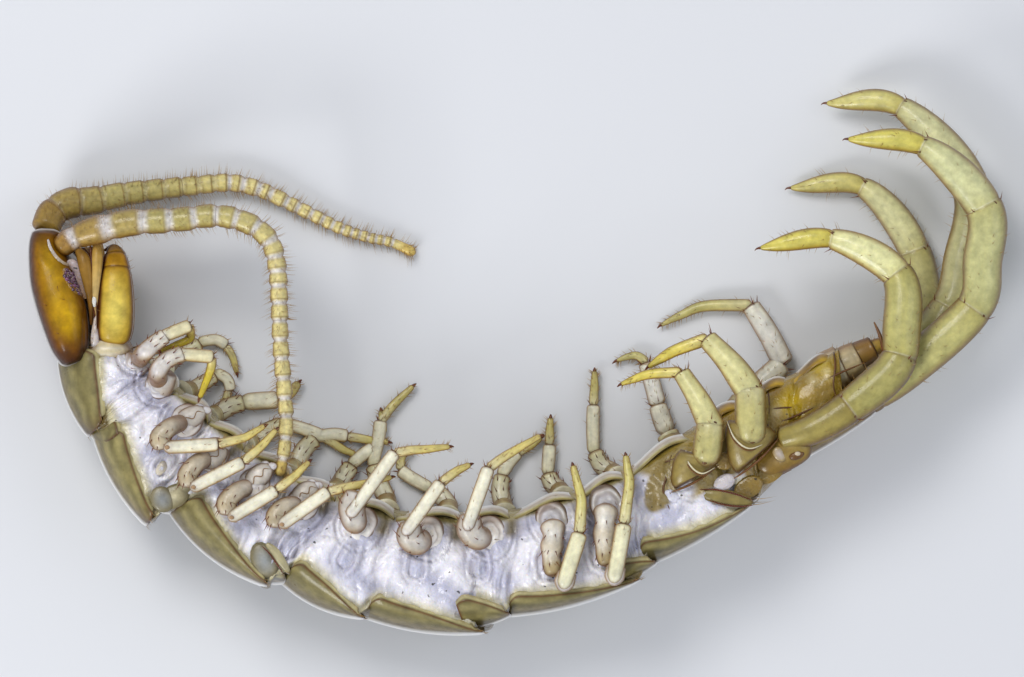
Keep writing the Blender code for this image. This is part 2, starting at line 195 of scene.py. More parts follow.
class Heap:
    """Closed skins, kept as lists of arrays until `piece` makes one mesh of them."""

    def __init__(self):
        self.points, self.tints, self.count = [], [], 0
        self.quads, self.tris, self.quad_mats, self.tri_mats = [], [], [], []

    def add(self, points, quads, tris, tint, mat=0, check=True):
        """Adds one closed skin. quads and tris are arrays of point numbers that start at 0."""
        points = np.asarray(points, float).reshape(-1, 3)
        quads, tris = np.asarray(quads, int).reshape(-1, 4), np.asarray(tris, int).reshape(-1, 3)
        if check:
            q = points - points.mean(0)
            both = np.vstack([quads[:, [0, 1, 2]], quads[:, [0, 2, 3]], tris])
            a, b, c = (q[both[:, i]] for i in range(3))
            # y points down in the little unit, so an outward skin has a negative volume here
            if (a * np.cross(b, c)).sum() > 0:
                quads, tris = quads[:, ::-1], tris[:, ::-1]
        self.points.append(points)
        self.tints.append(np.broadcast_to(np.asarray(tint, float).reshape(-1, 3), (len(points), 3)))
        self.quads.append(quads + self.count)
        self.tris.append(tris + self.count)
        self.quad_mats.append(np.full(len(quads), mat))
        self.tri_mats.append(np.full(len(tris), mat))
        self.count += len(points)

    def tube(self, rings, tint, mat=0):
        """rings is (rows, columns, 3), closed round each row; a point in the middle closes each end."""
        rings = np.asarray(rings, float)
        m, n = rings.shape[:2]
        i = np.arange(n)
        k = (i + 1) % n
        first, last = np.full(n, m * n), np.full(n, m * n + 1)
        caps = np.vstack([np.stack([first, k, i], 1), np.stack([last, (m - 1) * n + i, (m - 1) * n + k], 1)])
        points = np.vstack([rings.reshape(-1, 3), rings[0].mean(0), rings[-1].mean(0)])
        if np.ndim(tint) == 3:
            tint = np.vstack([np.asarray(tint).reshape(-1, 3), tint[0][0], tint[-1][0]])
        self.add(points, grid_faces(m, n, True), caps, tint, mat)

    def plate(self, top, under, tint):
        """A thin shell between two grids of the same shape, closed by a band round its four edges."""
        m, n = top.shape[:2]
        face = grid_faces(m, n, False)
        across, down = np.arange(n), np.arange(1, m)
        rim = np.concatenate([across, down * n + n - 1, (m - 1) * n + across[-2::-1], down[-2::-1] * n])
        after = np.roll(rim, -1)
        band = np.stack([after, rim, rim + m * n, after + m * n], 1)
        quads = np.vstack([face, face[:, ::-1] + m * n, band])
        self.add(np.stack([top, under]), quads, [], np.stack([tint, tint]))

    def bristles(self, roots, ways, lengths, width, mat, droop=0.15):
        """Each bristle is a three-sided spike in three steps, a little bent. Its width falls as 1 - s^1.5."""
        roots, ways = np.asarray(roots, float), unit(ways)
        count = len(roots)
        if not count:
            return
        lengths, width = np.broadcast_to(lengths, count), np.broadcast_to(width, count)
        side = unit(np.cross(ways, np.where(np.abs(ways[:, 2:]) > 0.9, [[1.0, 0, 0]], [[0, 0, 1.0]])))
        other = np.cross(ways, side)
        s, a = np.array([0, 0.4, 0.75]), angles(3)
        ring = np.cos(a)[None, :, None] * side[:, None] + np.sin(a)[None, :, None] * other[:, None]
        fat = (1 - s**1.5)[None, :] * width[:, None]
        ahead = (s[None, :] - 0.03)[..., None] * lengths[:, None, None] * ways[:, None]
        sag = (s**2)[None, :, None] * (lengths * droop)[:, None, None] * side[:, None]
        middle = roots[:, None, None] + ahead[:, :, None] + sag[:, :, None]
        body = middle + fat[..., None, None] * ring[:, None]
        tip = roots + lengths[:, None] * ways + (lengths * droop)[:, None] * side
        points = np.concatenate([body.reshape(count, 9, 3), tip[:, None]], 1)
        # the faces point outwards for a right-handed frame; y down turns every spike over at once
        step = (np.arange(count) * 10)[:, None, None]
        quads = grid_faces(3, 3, True)[None, :, ::-1] + step
        tris = np.array([[6, 7, 9], [7, 8, 9], [8, 6, 9], [2, 1, 0]])[None, :, ::-1] + step
        self.add(points, quads, tris, (0, 0, 0), mat, check=False)

    def piece(self, name, materials, replaces):
        """Makes the mesh, its tint attribute and its object, which rides on the frame's one body."""
        points = metres(np.vstack(self.points))
        quads, tris = np.vstack(self.quads), np.vstack(self.tris)
        mesh = bpy.data.meshes.new(name)
        mesh.vertices.add(len(points))
        mesh.vertices.foreach_set("co", points.ravel())
        loops = np.concatenate([quads.ravel(), tris.ravel()])
        mesh.loops.add(len(loops))
        mesh.loops.foreach_set("vertex_index", loops)
        starts = np.concatenate([np.arange(len(quads)) * 4, len(quads) * 4 + np.arange(len(tris)) * 3])
        mesh.polygons.add(len(starts))
        mesh.polygons.foreach_set("loop_start", starts)
        mesh.polygons.foreach_set("material_index", np.concatenate(self.quad_mats + self.tri_mats))
        mesh.polygons.foreach_set("use_smooth", np.ones(len(starts), bool))
        mesh.update(calc_edges=True)
        tint = mesh.attributes.new("tint", "FLOAT_COLOR", "POINT")
        tint.data.foreach_set("color", np.column_stack([np.vstack(self.tints), np.ones(len(points))]).ravel())
        for material in materials:
            mesh.materials.append(material)
        made = bpy.data.objects.new(name, mesh)
        bpy.context.scene.collection.objects.link(made)
        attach(made, "root")
        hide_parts(*replaces)
        print(f"{name}: {len(points)} points")


print("faces of a tube of three rings with eight points each:", len(grid_faces(3, 8, True)))

# %% [markdown]
# ## Tubes, beads and cups
#
# Most parts of the animal are tubes of horn that taper and bend: articles, ridges, claws. A tube is a circle
# carried along a path, flattened where the part is flat. Small knobs are squashed balls, and the cups that
# hold the strong legs are flat cones whose section is an ellipse.

# %% Tubes, beads and cups


def frames(line):
    """Directions along a path, to its side in the picture, and up from it."""
    way = unit(np.gradient(line, axis=0))
    side = unit(np.cross(way, (0, 0, 1.0)) + 1e-6)
    return way, side, np.cross(side, way)


def rings_round(line, r, side, up, c, s):
    """Rings round a path: the path plus r times (c to its side and s upwards), for all c and s of a ring."""
    out = c[None, :, None] * side[:, None] + s[None, :, None] * up[:, None]
    return line[:, None] + r[:, None, None] * out


def sweep(heap, line, r, tint, mat=0, sides=8, flat=0.8):
    """Rings of radius r round a path. A tint for each ring gets fine streaks, by sin(3a) and sin(7a + 5s)."""
    line, r = np.asarray(line, float), np.asarray(r, float)
    way, side, up = frames(line)
    a = angles(sides)
    if np.ndim(tint) == 2:
        run = np.linspace(0, 1, len(line))[:, None]
        streak = 1 + 0.05 * np.sin(3 * a + 1)[None] + 0.06 * np.sin(7 * a[None] + 5 * run)
        # down is 1 where a limb faces the picture's lower edge, and the horn there is painted
        # darker and golden: painted shade on that side of every limb
        down = np.cos(a)[None] * side[:, 1:2] + np.sin(a)[None] * up[:, 1:2]
        golden = 1 - smooth(down, 0.35, 1.0)[..., None] * np.array([0.08, 0.2, 0.45])
        tint = np.clip(np.asarray(tint)[:, None] * streak[..., None] * golden, 0, 0.95)
    heap.tube(rings_round(line, r, side, up, np.cos(a), flat * np.sin(a)), tint, mat)
    return line, way, r, side, up


BEAD_B = np.linspace(-0.47, 0.47, 8) * np.pi
DOME = np.cos(BEAD_B)[:, None] * np.ones(16)  # over a bead: 1 at its rim, nearly 0 at its top


def bead(heap, centre, radius, tint, flat=0.5, turn=0.0):
    """A squashed ball: rings of radius cos(b) at the height flat sin(b). radius is (along, across)."""
    b, a = BEAD_B, angles(16)
    rx, ry = radius
    u, v = rx * np.cos(b)[:, None] * np.cos(a), ry * np.cos(b)[:, None] * np.sin(a)
    c, d = np.cos(turn), np.sin(turn)
    ball = np.stack([u * c - v * d, u * d + v * c, flat * min(rx, ry) * np.sin(b)[:, None] + 0 * a], -1)
    heap.tube(ball + np.asarray(centre, float), tint)


def wedge_cup(heap, a, b, c, d, low, high, depth, rim, tint, brown, ivory):
    """A flat cup whose section is an ellipse: it goes from the line ab to the line cd, and closes at ab."""
    a, b, c, d = (np.array(v, float) for v in (a, b, c, d))
    s = np.concatenate([np.linspace(0, 0.12, 7), np.linspace(0.15, 1, 22)])[:, None]
    p, q = a + (c - a) * s, b + (d - b) * s
    turn = angles(36)
    narrow = 1 - 0.3 * np.clip(1 - s / 0.4, 0, 1) ** 2 - 0.3 * np.clip((s - 0.6) / 0.4, 0, 1) ** 2
    xy = ((p + q) / 2)[:, None] + ((q - p) / 2 * narrow)[:, None] * np.cos(turn)[None, :, None]
    z = low + (high - low) * s + depth * closed(s / 0.12, 0.95) * closed((1 - s) / 0.15, 0.9) * np.sin(turn)
    cloud = np.sin(xy[..., 0] * 0.5 + xy[..., 1] * 0.3) * np.sin(xy[..., 1] * 0.4)
    tone = np.asarray(tint) * (1 + 0.1 * cloud)[..., None]
    heap.tube(np.dstack([xy, z]), mix(tone, brown, np.clip(1 - s / 0.1, 0, 1) * 0.7 * np.ones(36)))
    t = np.linspace(0, 1, 30)
    arch = depth * 0.5 * np.sin(t * np.pi)
    thin = spindle(30, 0, np.pi)
    outwards = unit(np.array([a[1] - b[1], b[0] - a[0]]))
    edge = a + (b - a) * t[:, None] + np.outer(np.sin(t * np.pi), outwards) * 3
    top = along(rim, 30)
    for xy, z, r, colour in ((edge, low, 1.3, brown), (top, high + depth * 0.35, 0.95, ivory),
                             (top + (-1.0, 2.0), high + depth * 0.28, 0.8, brown)):
        sweep(heap, np.column_stack([xy, z + arch]), r * thin, colour, sides=10)


print("points of a bead:", DOME.size + 2)

# %% [markdown]
# ## Materials
#
# The cuticle of a centipede is a thin, wet-looking horn. Its colour lies in it rather than on it, so the
# shader lets some light under the skin, and a clear coat gives the gloss. Seen edge-on, light has more horn
# to cross, so everything gets a warm brown outline, painted into the colour as painted shade. The broad
# colours come from `tint`, with noise on top.
# Wet horn also gets a painted white glint, a painted reflection, where it is seen at the flattest angle.

# %% The cuticle material
EDGE_SHADE_BROWN, GLINT_WHITE_PAINTED = (0.34, 0.17, 0.05, 1), (0.95, 0.94, 0.92, 1)


def cuticle(name, mottle=0.12, grain=14, bump=0.6, wrinkle=0, rough=0.3, coat=0.5, under=0.25, specks=False,
            edge=0.5, crisp=(0.45, 0.98), glint=0.0, shine=0.4):
    """mottle is how much the colour varies, grain the size of that noise, bump and wrinkle are heights."""
    m = bpy.data.materials.new(name)
    m.use_nodes = True
    n, link = m.node_tree.nodes, m.node_tree.links

    def wired(made, inputs):
        """Sets a node's inputs: a number is put in, and the output of another node is linked."""
        for key, value in inputs.items():
            if isinstance(value, bpy.types.NodeSocket):
                link.new(value, made.inputs[key])
            else:
                made.inputs[key].default_value = value
        return made

    where = n.new("ShaderNodeTexCoord").outputs["Object"]
    tint = n.new("ShaderNodeAttribute")
    tint.attribute_name = "tint"

    def noise(size, detail=4.0):
        values = {"Scale": 1 / (size * U), "Detail": detail, "Roughness": 0.6, "Vector": where}
        return wired(n.new("ShaderNodeTexNoise"), values).outputs["Fac"]

    def ramp(value, low, high, a, b):
        values = {"From Min": low, "From Max": high, "To Min": a, "To Max": b, "Value": value}
        return wired(n.new("ShaderNodeMapRange"), values).outputs["Result"]

    def scaled(colour, factor):
        made = n.new("ShaderNodeVectorMath")
        made.operation = "SCALE"
        return wired(made, {0: colour, "Scale": factor}).outputs["Vector"]

    def blended(share, colour, other, way):
        made = n.new("ShaderNodeMix")
        made.data_type = "RGBA"
        made.blend_type = way
        return wired(made, {0: share, 6: colour, 7: other}).outputs[2]

    out = scaled(tint.outputs["Color"], ramp(noise(grain), 0.3, 0.7, 1 - mottle * 1.6, 1 + mottle))
    if specks:  # tiny dark specks, where a fine noise runs high
        out = scaled(out, ramp(noise(7, 1), 0.735, 0.765, 1, 0.12))
    # painted shade: a warm brown outline mixed into the colour where the skin is seen edge-on
    if edge:  # a warm brown outline, where the skin is seen edge-on
        facing = wired(n.new("ShaderNodeLayerWeight"), {"Blend": 0.5}).outputs["Facing"]
        out = blended(ramp(facing, *crisp, 0, edge), out, EDGE_SHADE_BROWN, "MULTIPLY")
        # painted glint: white mixed into the colour where the skin is seen at the flattest angle, a painted
        # reflection
        if glint:  # horn that is wet shines white where it is seen at the flattest angle
            out = blended(ramp(facing, 0.78, 0.92, 0, glint), out, GLINT_WHITE_PAINTED, "MIX")
    height = ramp(noise(3.2, 3), 0, 1, 0, bump)
    if wrinkle:
        for size, deep in ((8, wrinkle), (22, wrinkle * 1.6)):
            both = {0: height, 1: ramp(noise(size, 2), 0, 1, 0, deep)}
            height = wired(n.new("ShaderNodeMath"), both).outputs[0]
    lift = wired(n.new("ShaderNodeBump"), {"Strength": 0.7, "Distance": U, "Height": height})
    wired(n["Principled BSDF"], {
        "Base Color": out, "Normal": lift.outputs["Normal"],
        "Roughness": ramp(noise(grain * 0.6), 0.3, 0.7, rough * 0.75, rough * 1.35),
        "Subsurface Weight": under, "Subsurface Radius": (1.0, 0.75, 0.4), "Subsurface Scale": 9 * U,
        "Coat Weight": coat, "Coat Roughness": 0.14, "Coat IOR": 1.5, "Specular IOR Level": shine})
    return m


print("the cuticle has a clear coat of refractive index 1.5")

# %% [markdown]
# ## Six skins and two spikes
#
# The parts differ in how thick their horn is. The head is clear and amber, the plates are duller, the soft
# flank is wrinkled and has fine dark specks, and an eye's lens is smooth glass. Spines and setae are too thin
# to show a pattern, so a plain colour does for them.

# %% The materials of the parts


def plain(name, colour, rough=0.35):
    """A material of one colour, for spikes too thin to show a pattern."""
    m = bpy.data.materials.new(name)
    m.use_nodes = True
    b = m.node_tree.nodes["Principled BSDF"]
    b.inputs["Base Color"].default_value = (*paint(*colour), 1)
    b.inputs["Roughness"].default_value = rough
    return m


horn = cuticle("head_horn", mottle=0.2, grain=13, bump=0.25, rough=0.4, coat=0.14, under=0.05, edge=0.85,
               crisp=(0.3, 0.85), glint=0.6, shine=0.15)
plate_horn = cuticle("back_plate_horn", mottle=0.2, grain=12, bump=0.35, rough=0.36, coat=0.25, under=0.1,
                     edge=0.6, crisp=(0.45, 0.8), glint=0.9, shine=0.25)
membrane = cuticle("side_membrane", mottle=0.1, grain=18, wrinkle=3.6, under=0.3, specks=True, edge=0.35)
limb_horn = cuticle("leg_horn", mottle=0.14, grain=9, bump=0.5, rough=0.36, coat=0.3, under=0.2, edge=0.85,
                    crisp=(0.2, 0.62), shine=0.3)
feeler_horn = cuticle("antenna_horn", mottle=0.16, grain=5, rough=0.36, coat=0.3, under=0.2, edge=0.8,
                      crisp=(0.25, 0.75), shine=0.3)
eye_glass = cuticle("ocellus_glass", mottle=0.1, grain=3, bump=0.0, rough=0.1, coat=1.0, under=0.0, edge=0)
seta_pale = plain("pale_seta", (168, 132, 76))
seta_dark = plain("red_brown_spur", (112, 52, 22))
print("materials:", len(bpy.data.materials))

# %% [markdown]
# ## The trunk's course
#
# The animal lies curled on its left side, so we look straight at its right flank. Its trunk runs between two
# curves of the picture: the back, along the outside of the curl, and the belly, along the inside. Each has
# one knot at every border between segments. A point of the trunk is then given by t, the number of segments
# from the neck, q, from -1 at the belly to 1 at the back, and the height z across the animal.

# %% Back, belly, width and height
BACK = [(60, 366), (84, 426), (93, 441), (146, 522), (168, 515), (258, 588), (280, 583), (362, 621),
        (479, 634), (508, 618), (630, 588), (649, 567), (748, 511), (763, 496), (795, 465), (846, 430)]
BELLY = [(130, 350), (156, 364), (180, 388), (213, 415), (250, 444), (294, 471), (340, 493), (397, 510),
         (462, 512), (520, 508), (581, 488), (632, 466), (695, 426), (748, 395), (795, 373), (838, 348)]
HALF = [44, 52, 56, 60, 62, 64, 65, 66, 67, 67, 66, 63, 58, 53, 47, 42]
HEIGHT = [72, 73, 74, 76, 78] + [80] * 11


def trunk(t):
    """Middle, direction from belly to back, height, half-width and height above the floor at t."""
    back, belly = spline(BACK, t), spline(BELLY, t)
    tall = np.linalg.norm(back - belly, axis=-1)
    middle, up = (back + belly) / 2, (back - belly) / tall[..., None]
    return middle, up, tall, spline(HALF, t)[..., 0], spline(HEIGHT, t)[..., 0]


def upward(k):
    """The direction from belly to back in the middle of segment k."""
    return trunk(np.array([k - 0.5]))[1][0]


print("trunk height at its middle in mm:", round(float(trunk(np.array([7.5]))[2][0] / 70), 2))

# %% [markdown]
# ## How deep the back plates reach
#
# Each back plate comes down over the flank in an arch. The soft flank below has to know where that arch ends,
# so the plates' driving sizes stand here, before both. At the borders the depth is blurred, so that the
# flank's upper edge runs on without a step.

# %% The plates' driving sizes
# Start and end on the back's outline, how far it bulges, the depth of the arch at the front, middle and rear,
# and how far the front's sides reach behind its middle
PLATES = {
    1: ((56, 356), (85, 435), 7, 40, 35, 21, 2),
    2: ((87, 430), (97, 446), 1, 30, 28, 24, 6),
    3: ((91, 436), (143, 525), 7, 33, 26, 14, 5),
    4: ((147, 506), (168, 514), 2, 14, 14, 12, 0),
    5: ((168, 514), (264, 587), 11, 38, 27, 5, 8),
    6: ((252, 580), (283, 584), 3, 14, 14, 10, 0),
    7: ((277, 581), (362, 619.5), 9, 31, 25, 2.5, 8),
    8: ((363, 619), (482, 634.5), 7, 26, 20.5, 3, 5),
    9: ((465, 629), (509, 617), 3, 36, 23, 5, -2),
    10: ((507, 618), (639, 582), 7.5, 22, 14, 2.5, 6),
    11: ((620, 587), (656, 565), 1, 24, 16, 5, -2),
    12: ((643, 569), (752, 507), 5.5, 27, 12, 3, 5),
    13: ((712, 526), (757, 500), 1, 28, 19, 4, -4),
    14: ((742, 499), (795, 463), 2, 24, 16, 5, -2),
    15: ((788, 468), (875, 415), 3, 14, 9, 4, 0),
}
SEGMENTS = {k: f"segment_{k:02d}" for k in PLATES}
BLUR = 25  # steps of 1/200 segment
depth_t = np.linspace(0, 15, 3001)
depth = np.empty(3001)
for k, (_, _, bulge, *arch, _) in PLATES.items():
    here = depth_t >= k - 1
    s = depth_t[here] - (k - 1)
    depth[here] = spline(arch, 2 * s)[:, 0] - 3.2 * max(bulge - 3, 0) * s * (1 - s)
ARCH_DEPTH = np.convolve(np.pad(depth, BLUR // 2, "edge"), np.ones(BLUR) / BLUR, "valid")


def margin(t):
    """The height q of the back plate's side margin, from the depth of its arch."""
    return np.clip(1 - 2 * np.interp(t, depth_t, ARCH_DEPTH) / trunk(t)[2], -0.3, 0.88)


print("the margin lies between q =", np.round([margin(depth_t).min(), margin(depth_t).max()], 2))

# %% [markdown]
# ## Camera, light and floor
#
# The specimen was photographed from straight above through a microscope, so a very long lens far away comes
# closest: it keeps all heights at nearly one scale. The light is a soft studio: a pale sky, a big soft lamp
# from above, and a low one from the lower left. The white line along the back is a painted glint in the horn.

# %% Camera
PICTURE = (1024, 677)  # the picture's width and height in units
PLANE = 105 * U  # the height that is shown at exactly the picture's scale
LENS, SENSOR = 600.0, 36.0  # millimetres
camera = bpy.data.objects.new("camera", bpy.data.cameras.new("camera"))
camera.data.lens = LENS
camera.data.sensor_width = SENSOR
camera.data.sensor_fit = "HORIZONTAL"
away = PICTURE[0] * U * LENS / SENSOR
camera.location = ((PICTURE[0] / 2 - CENTRE[0]) * U, (CENTRE[1] - PICTURE[1] / 2) * U, PLANE + away)
camera.data.clip_start, camera.data.clip_end = away * 0.3, away * 5
bpy.context.scene.collection.objects.link(camera)
bpy.context.scene.camera = camera
print("camera height in mm:", round(camera.location.z * 1000, 1))

# %% [markdown]
# ## The lamps and the sky
#
# A soft lamp is a large one. Each is a square of 3 to 6 cm, and the animal is 1.4 cm long, so the shadows
# have no hard edge. The pale sky fills the rest.

# %% Light and floor


def lamp(name, place, aim, size, power_in_watts, colour):
    """A square soft lamp at place, in metres, that looks at aim."""
    data = bpy.data.lights.new(name, "AREA")
    data.size, data.energy, data.color = size, power_in_watts, colour
    made = bpy.data.objects.new(name, data)
    z = unit(np.array(place) - np.array(aim))
    x = unit(np.cross((0, 1, 0.01), z))
    made.matrix_world = Matrix([[x[i], np.cross(z, x)[i], z[i], place[i]] for i in range(3)] + [[0, 0, 0, 1]])
    bpy.context.scene.collection.objects.link(made)


lamp("key", (-0.03, 0.045, 0.08), (0, 0, 0), 0.04, 0.042, (1.0, 0.98, 0.95))
lamp("low_left", (-0.045, -0.055, 0.05), (0, -0.001, 0.001), 0.03, 0.036, (1.0, 1.0, 1.0))
lamp("fill", (0.07, 0.01, 0.07), (0, 0, 0), 0.06, 0.014, (0.93, 0.96, 1.0))
world = bpy.data.worlds.new("studio")
world.use_nodes = True
sky = world.node_tree.nodes["Background"]
sky.inputs["Color"].default_value = (0.86, 0.9, 1.0, 1)
sky.inputs["Strength"].default_value = 0.45
bpy.context.scene.world = world
bpy.context.scene.view_settings.view_transform = "Standard"
floor_mesh = bpy.data.meshes.new("floor")
floor_mesh.from_pydata([(-0.2, -0.2, 0), (0.2, -0.2, 0), (0.2, 0.2, 0), (-0.2, 0.2, 0)], [], [(0, 1, 2, 3)])
floor_mesh.materials.append(plain("pale_floor", (216, 218, 222), 0.6))
floor = bpy.data.objects.new("floor", floor_mesh)
bpy.context.scene.collection.objects.link(floor)
floor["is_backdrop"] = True
print("lamps:", len(bpy.data.lights))

# %% [markdown]
# ## The shape of the soft flank
#
# Between back plates and belly plates the trunk is bare membrane, pale as mother-of-pearl and finely folded.
# It has no joints of its own, so one skin covers all fifteen segments. Its section swells from the belly to
# the plate's margin, and a quarter ellipse closes it under the plate. Borders are grooves, and U-shaped folds
# hang below every coxa round a little pale knob.

# %% The flank's section and folds
BELLY_Q = [-1.0, -0.985, -0.93, -0.8, -0.6, -0.35, -0.08, 0.2, 0.45, 1.0]
BELLY_W = [0.0, 0.34, 0.6, 0.78, 0.91, 0.98, 1.0, 1.0, 0.985, 0.96]
TOP = 0.965  # the height q where the skin closes under the plate
LAST = 15  # the number of trunk segments
COXAE = {1: (143, 350), 2: (162, 381), 3: (186, 421), 4: (213, 455), 5: (254, 485), 6: (303, 504),
         7: (361, 524), 8: (428, 533), 9: (489, 533), 10: (552, 519), 11: (606, 503), 12: (690, 474),
         13: (740, 460), 14: (783, 448)}
NUBS = {3: (163, 468), 5: (228, 545), 6: (289, 551), 7: (345, 561), 8: (416, 571), 9: (479, 571),
        10: (546, 572), 11: (600, 560)}


def half_width(q, t):
    """The share of the half-width at the height q: the belly's profile, then an ellipse above the margin."""
    m = margin(t)
    low = np.interp(q, BELLY_Q, BELLY_W)
    high = np.interp(m, BELLY_Q, BELLY_W) * np.sqrt(np.clip(1 - ((q - m) / (TOP - m)) ** 2, 0, 1))
    return np.where(q < m, low, high)


def seen_from(x, y, place, up):
    """Distances from a place: along the trunk, and up towards the back."""
    dx, dy = x - place[0], y - place[1]
    return dx * up[1] - dy * up[0], dx * up[0] + dy * up[1]


def folds(x, y):
    """Relief of the flank in units: two rings round each coxa, U-shaped folds and a knob below it."""
    lift = np.zeros_like(x)
    for k, place in COXAE.items():
        up = upward(k)
        a, b = seen_from(x, y, place, up)
        d = np.hypot(a / 19, b / 22)
        lift += 2.0 * np.cos((d - 1.15) * 2 * np.pi / 0.3) * bell(d, 1.25, 0.05)
        if k in NUBS:
            a, b = seen_from(x, y, NUBS[k], up)
            e = np.where(b > 0, np.hypot(a, b), np.hypot(a, b * 0.35))
            lift += 3.4 * bell(np.hypot(a, b), 0, 10)
            lift += 2.6 * np.cos((e - 11) * 0.8) * bell(e, 10, 26) * smooth(b, -42, -8)
    return lift


def flank(t, half, side):
    """Points of the flank at the values t, in len(half) steps from the belly to the back."""
    mid, up, tall, wide, high = (v[:, None] for v in trunk(t))
    t, m, v = t[:, None], margin(t)[:, None], half[None]
    rise = (1 - np.cos(np.clip(v / 0.62, 0, 1) * np.pi * 0.5)) ** 0.8
    over = np.sin(np.clip((v - 0.62) / 0.38, 0, 1) * np.pi / 2)
    q = np.where(v < 0.62, -1 + (m + 1) * rise, m + (TOP - m) * over)
    w = half_width(q, np.broadcast_to(t, q.shape))
    phase = np.mod(t + 0.035 * np.sin(q * 5.5 + t * 2.1) + 0.02 * np.sin(q * 13 + t * 5), 1)
    border = bell(np.minimum(phase, 1 - phase), 0, 0.006) * smooth(t, 0.2, 0.6)
    border2 = bell(phase + 0.05 * np.sin(q * 4), 0.86, 0.0012) * smooth(t, 0.9, 1.2)
    out = w * wide - smooth(w, 0.4, 0.9) * (5 * border + 2.0 * border2 - 1.5 * np.sin(np.pi * phase))
    xy = mid + up * (q * tall / 2)[..., None]
    x, y = xy[..., 0], xy[..., 1]
    near_border = 0.35 + 0.65 * smooth(np.abs(phase - 0.5), 0.15, 0.45)
    long = np.sin(phase * 42 + 3 * np.sin(q * 5) + x * 0.02) * near_border * smooth(q, -0.6, 0.0)
    lumps = np.sin(x * 0.31 + np.sin(y * 0.23) * 1.6) * np.sin(y * 0.27 + x * 0.05)
    big = np.sin(x * 0.17 + 1.8 * np.sin(y * 0.11 + 1)) * np.sin(y * 0.15 + np.sin(x * 0.13) * 1.5)
    soft = (1 - 0.85 * smooth(t, 11.6, 11.95)) * smooth(w, 0.5, 0.9) * (1 - smooth(q - m, 0.0, 0.12))
    out = out + soft * (folds(x, y) + 0.8 * long + lumps + 1.8 * big)
    return np.dstack([xy, high + side * np.maximum(out, 0)]), q, m


print("coxae in the flank:", len(COXAE), "and knobs below them:", len(NUBS))

# %% [markdown]
# ## Standing things on the flank
#
# Coxae, beads and seams stand on the skin, so their makers ask how high it is at a point of the picture. The
# point's t and q come from the trunk's midline: first the nearest of 151 places, then a few steps along it.

# %% The height of the flank


def on_trunk(x, y):
    """t and q of points of the picture: each step moves t by the distance left over the speed there."""
    p = np.column_stack([np.atleast_1d(x), np.atleast_1d(y)]).astype(float)
    ts = np.linspace(0, LAST, 151)
    t = ts[np.argmin(((trunk(ts)[0][None] - p[:, None]) ** 2).sum(-1), 1)]
    for _ in range(10):
        mid, up = trunk(t)[:2]
        ahead = np.column_stack([up[:, 1], -up[:, 0]])
        speed = np.maximum(((trunk(t + 0.01)[0] - trunk(t - 0.01)[0]) * ahead).sum(-1) / 0.02, 8)
        t = np.clip(t + np.clip(((p - mid) * ahead).sum(-1) / speed, -0.5, 0.5) * 0.8, 0.02, LAST - 0.02)
    mid, up, tall = trunk(t)[:3]
    return t, ((p - mid) * up).sum(-1) * 2 / tall


def flank_height(x, y, side):
    """Heights of the flank over points of the picture, on the right side (1) or the left (-1)."""
    t, q = on_trunk(x, y)
    _, _, _, wide, high = trunk(t)
    return high + side * half_width(np.clip(q, -1, TOP), t) * wide


def flank_z(x, y, side=1):
    """The same for one point, as a plain number."""
    return float(flank_height(x, y, side)[0])


print("height of the flank at coxa 8 in mm:", round(flank_z(*COXAE[8]) / 70, 2))

# %% [markdown]
# ## The flank's colours and small hard parts
#
# The skin is white with lilac shadows in its folds, olive under the plates' margins, and amber towards the
# tail. A coat of colour is laid where a formula of t, q, x and y says so. Small bare bumps are beads sunk in
# the skin, and the brown edges of little hard plates in it are threads.

# %% The flank as one skin
WHITE, LILAC, SHADE = paint(236, 234, 240), paint(190, 190, 208), paint(150, 144, 152)
FLANK_OLIVE, KHAKI_EDGE, AMBER = paint(104, 88, 46), paint(198, 188, 138), paint(150, 122, 38)
t = np.linspace(0.02, LAST, LAST * 40)
half = np.linspace(0, 1, 64)
right, q, m = flank(t, half, 1)
left = flank(t, half, -1)[0]
rings = np.concatenate([right, left[:, -2:0:-1]], 1)
q, m = np.concatenate([q, q[:, -2:0:-1]], 1), np.broadcast_to(m, (len(t), rings.shape[1]))
x, y, seen = rings[..., 0], rings[..., 1], rings[..., 2] > 80
tt = np.broadcast_to(t[:, None], q.shape)
wavy = 0.3 * np.cos(q * 3)
groove = bell(np.mod(tt + 0.52 + 0.035 * np.sin(q * 5.5 + tt * 2.1), 1), 0.5, 0.0015)
behind = bell(np.mod(tt + 0.62, 1), 0.5, 0.02)
tone = layers(
    mix(WHITE, LILAC, 0.5 + 0.5 * np.sin(x * 0.09 + 2 * np.sin(y * 0.07))),
    (SHADE, np.clip(-folds(x, y) * 0.28, 0, 0.5)),
    (SHADE, groove * 0.35 * smooth(tt, 0.5, 0.9)),
    # olive-brown patches between the coxae near the belly: painted shade, with the sternites' edges seen through
    ((112, 98, 56), behind * smooth(-q, 0.42, 0.6) * 0.9 * smooth(tt, 2.5, 3.5)),
    ((158, 144, 90), smooth(-q, 0.76, 0.88) * (1 - smooth(tt, 12, 13))),
    (KHAKI_EDGE, smooth(q - m, -0.3, -0.04) * 0.85),
    (FLANK_OLIVE, smooth(q - m, -0.02, 0.08)),
    ((150, 128, 52), smooth(tt, 11.25 + wavy, 11.4 + wavy) * smooth(0.3 - q, 0, 0.12) * 0.95),
    (AMBER, smooth(tt, 12.25, 12.45) * 0.95))
SPOTS = [(789, 402, 13, (206, 176, 18), 0.9), (820, 366, 11, (190, 164, 44), 0.75),
         (776, 412, 5, (214, 196, 150), 0.7), (812, 380, 5, (206, 190, 140), 0.7),
         (826, 372, 4, (222, 206, 150), 0.7), (775, 388, 10, (110, 78, 26), 0.7)]
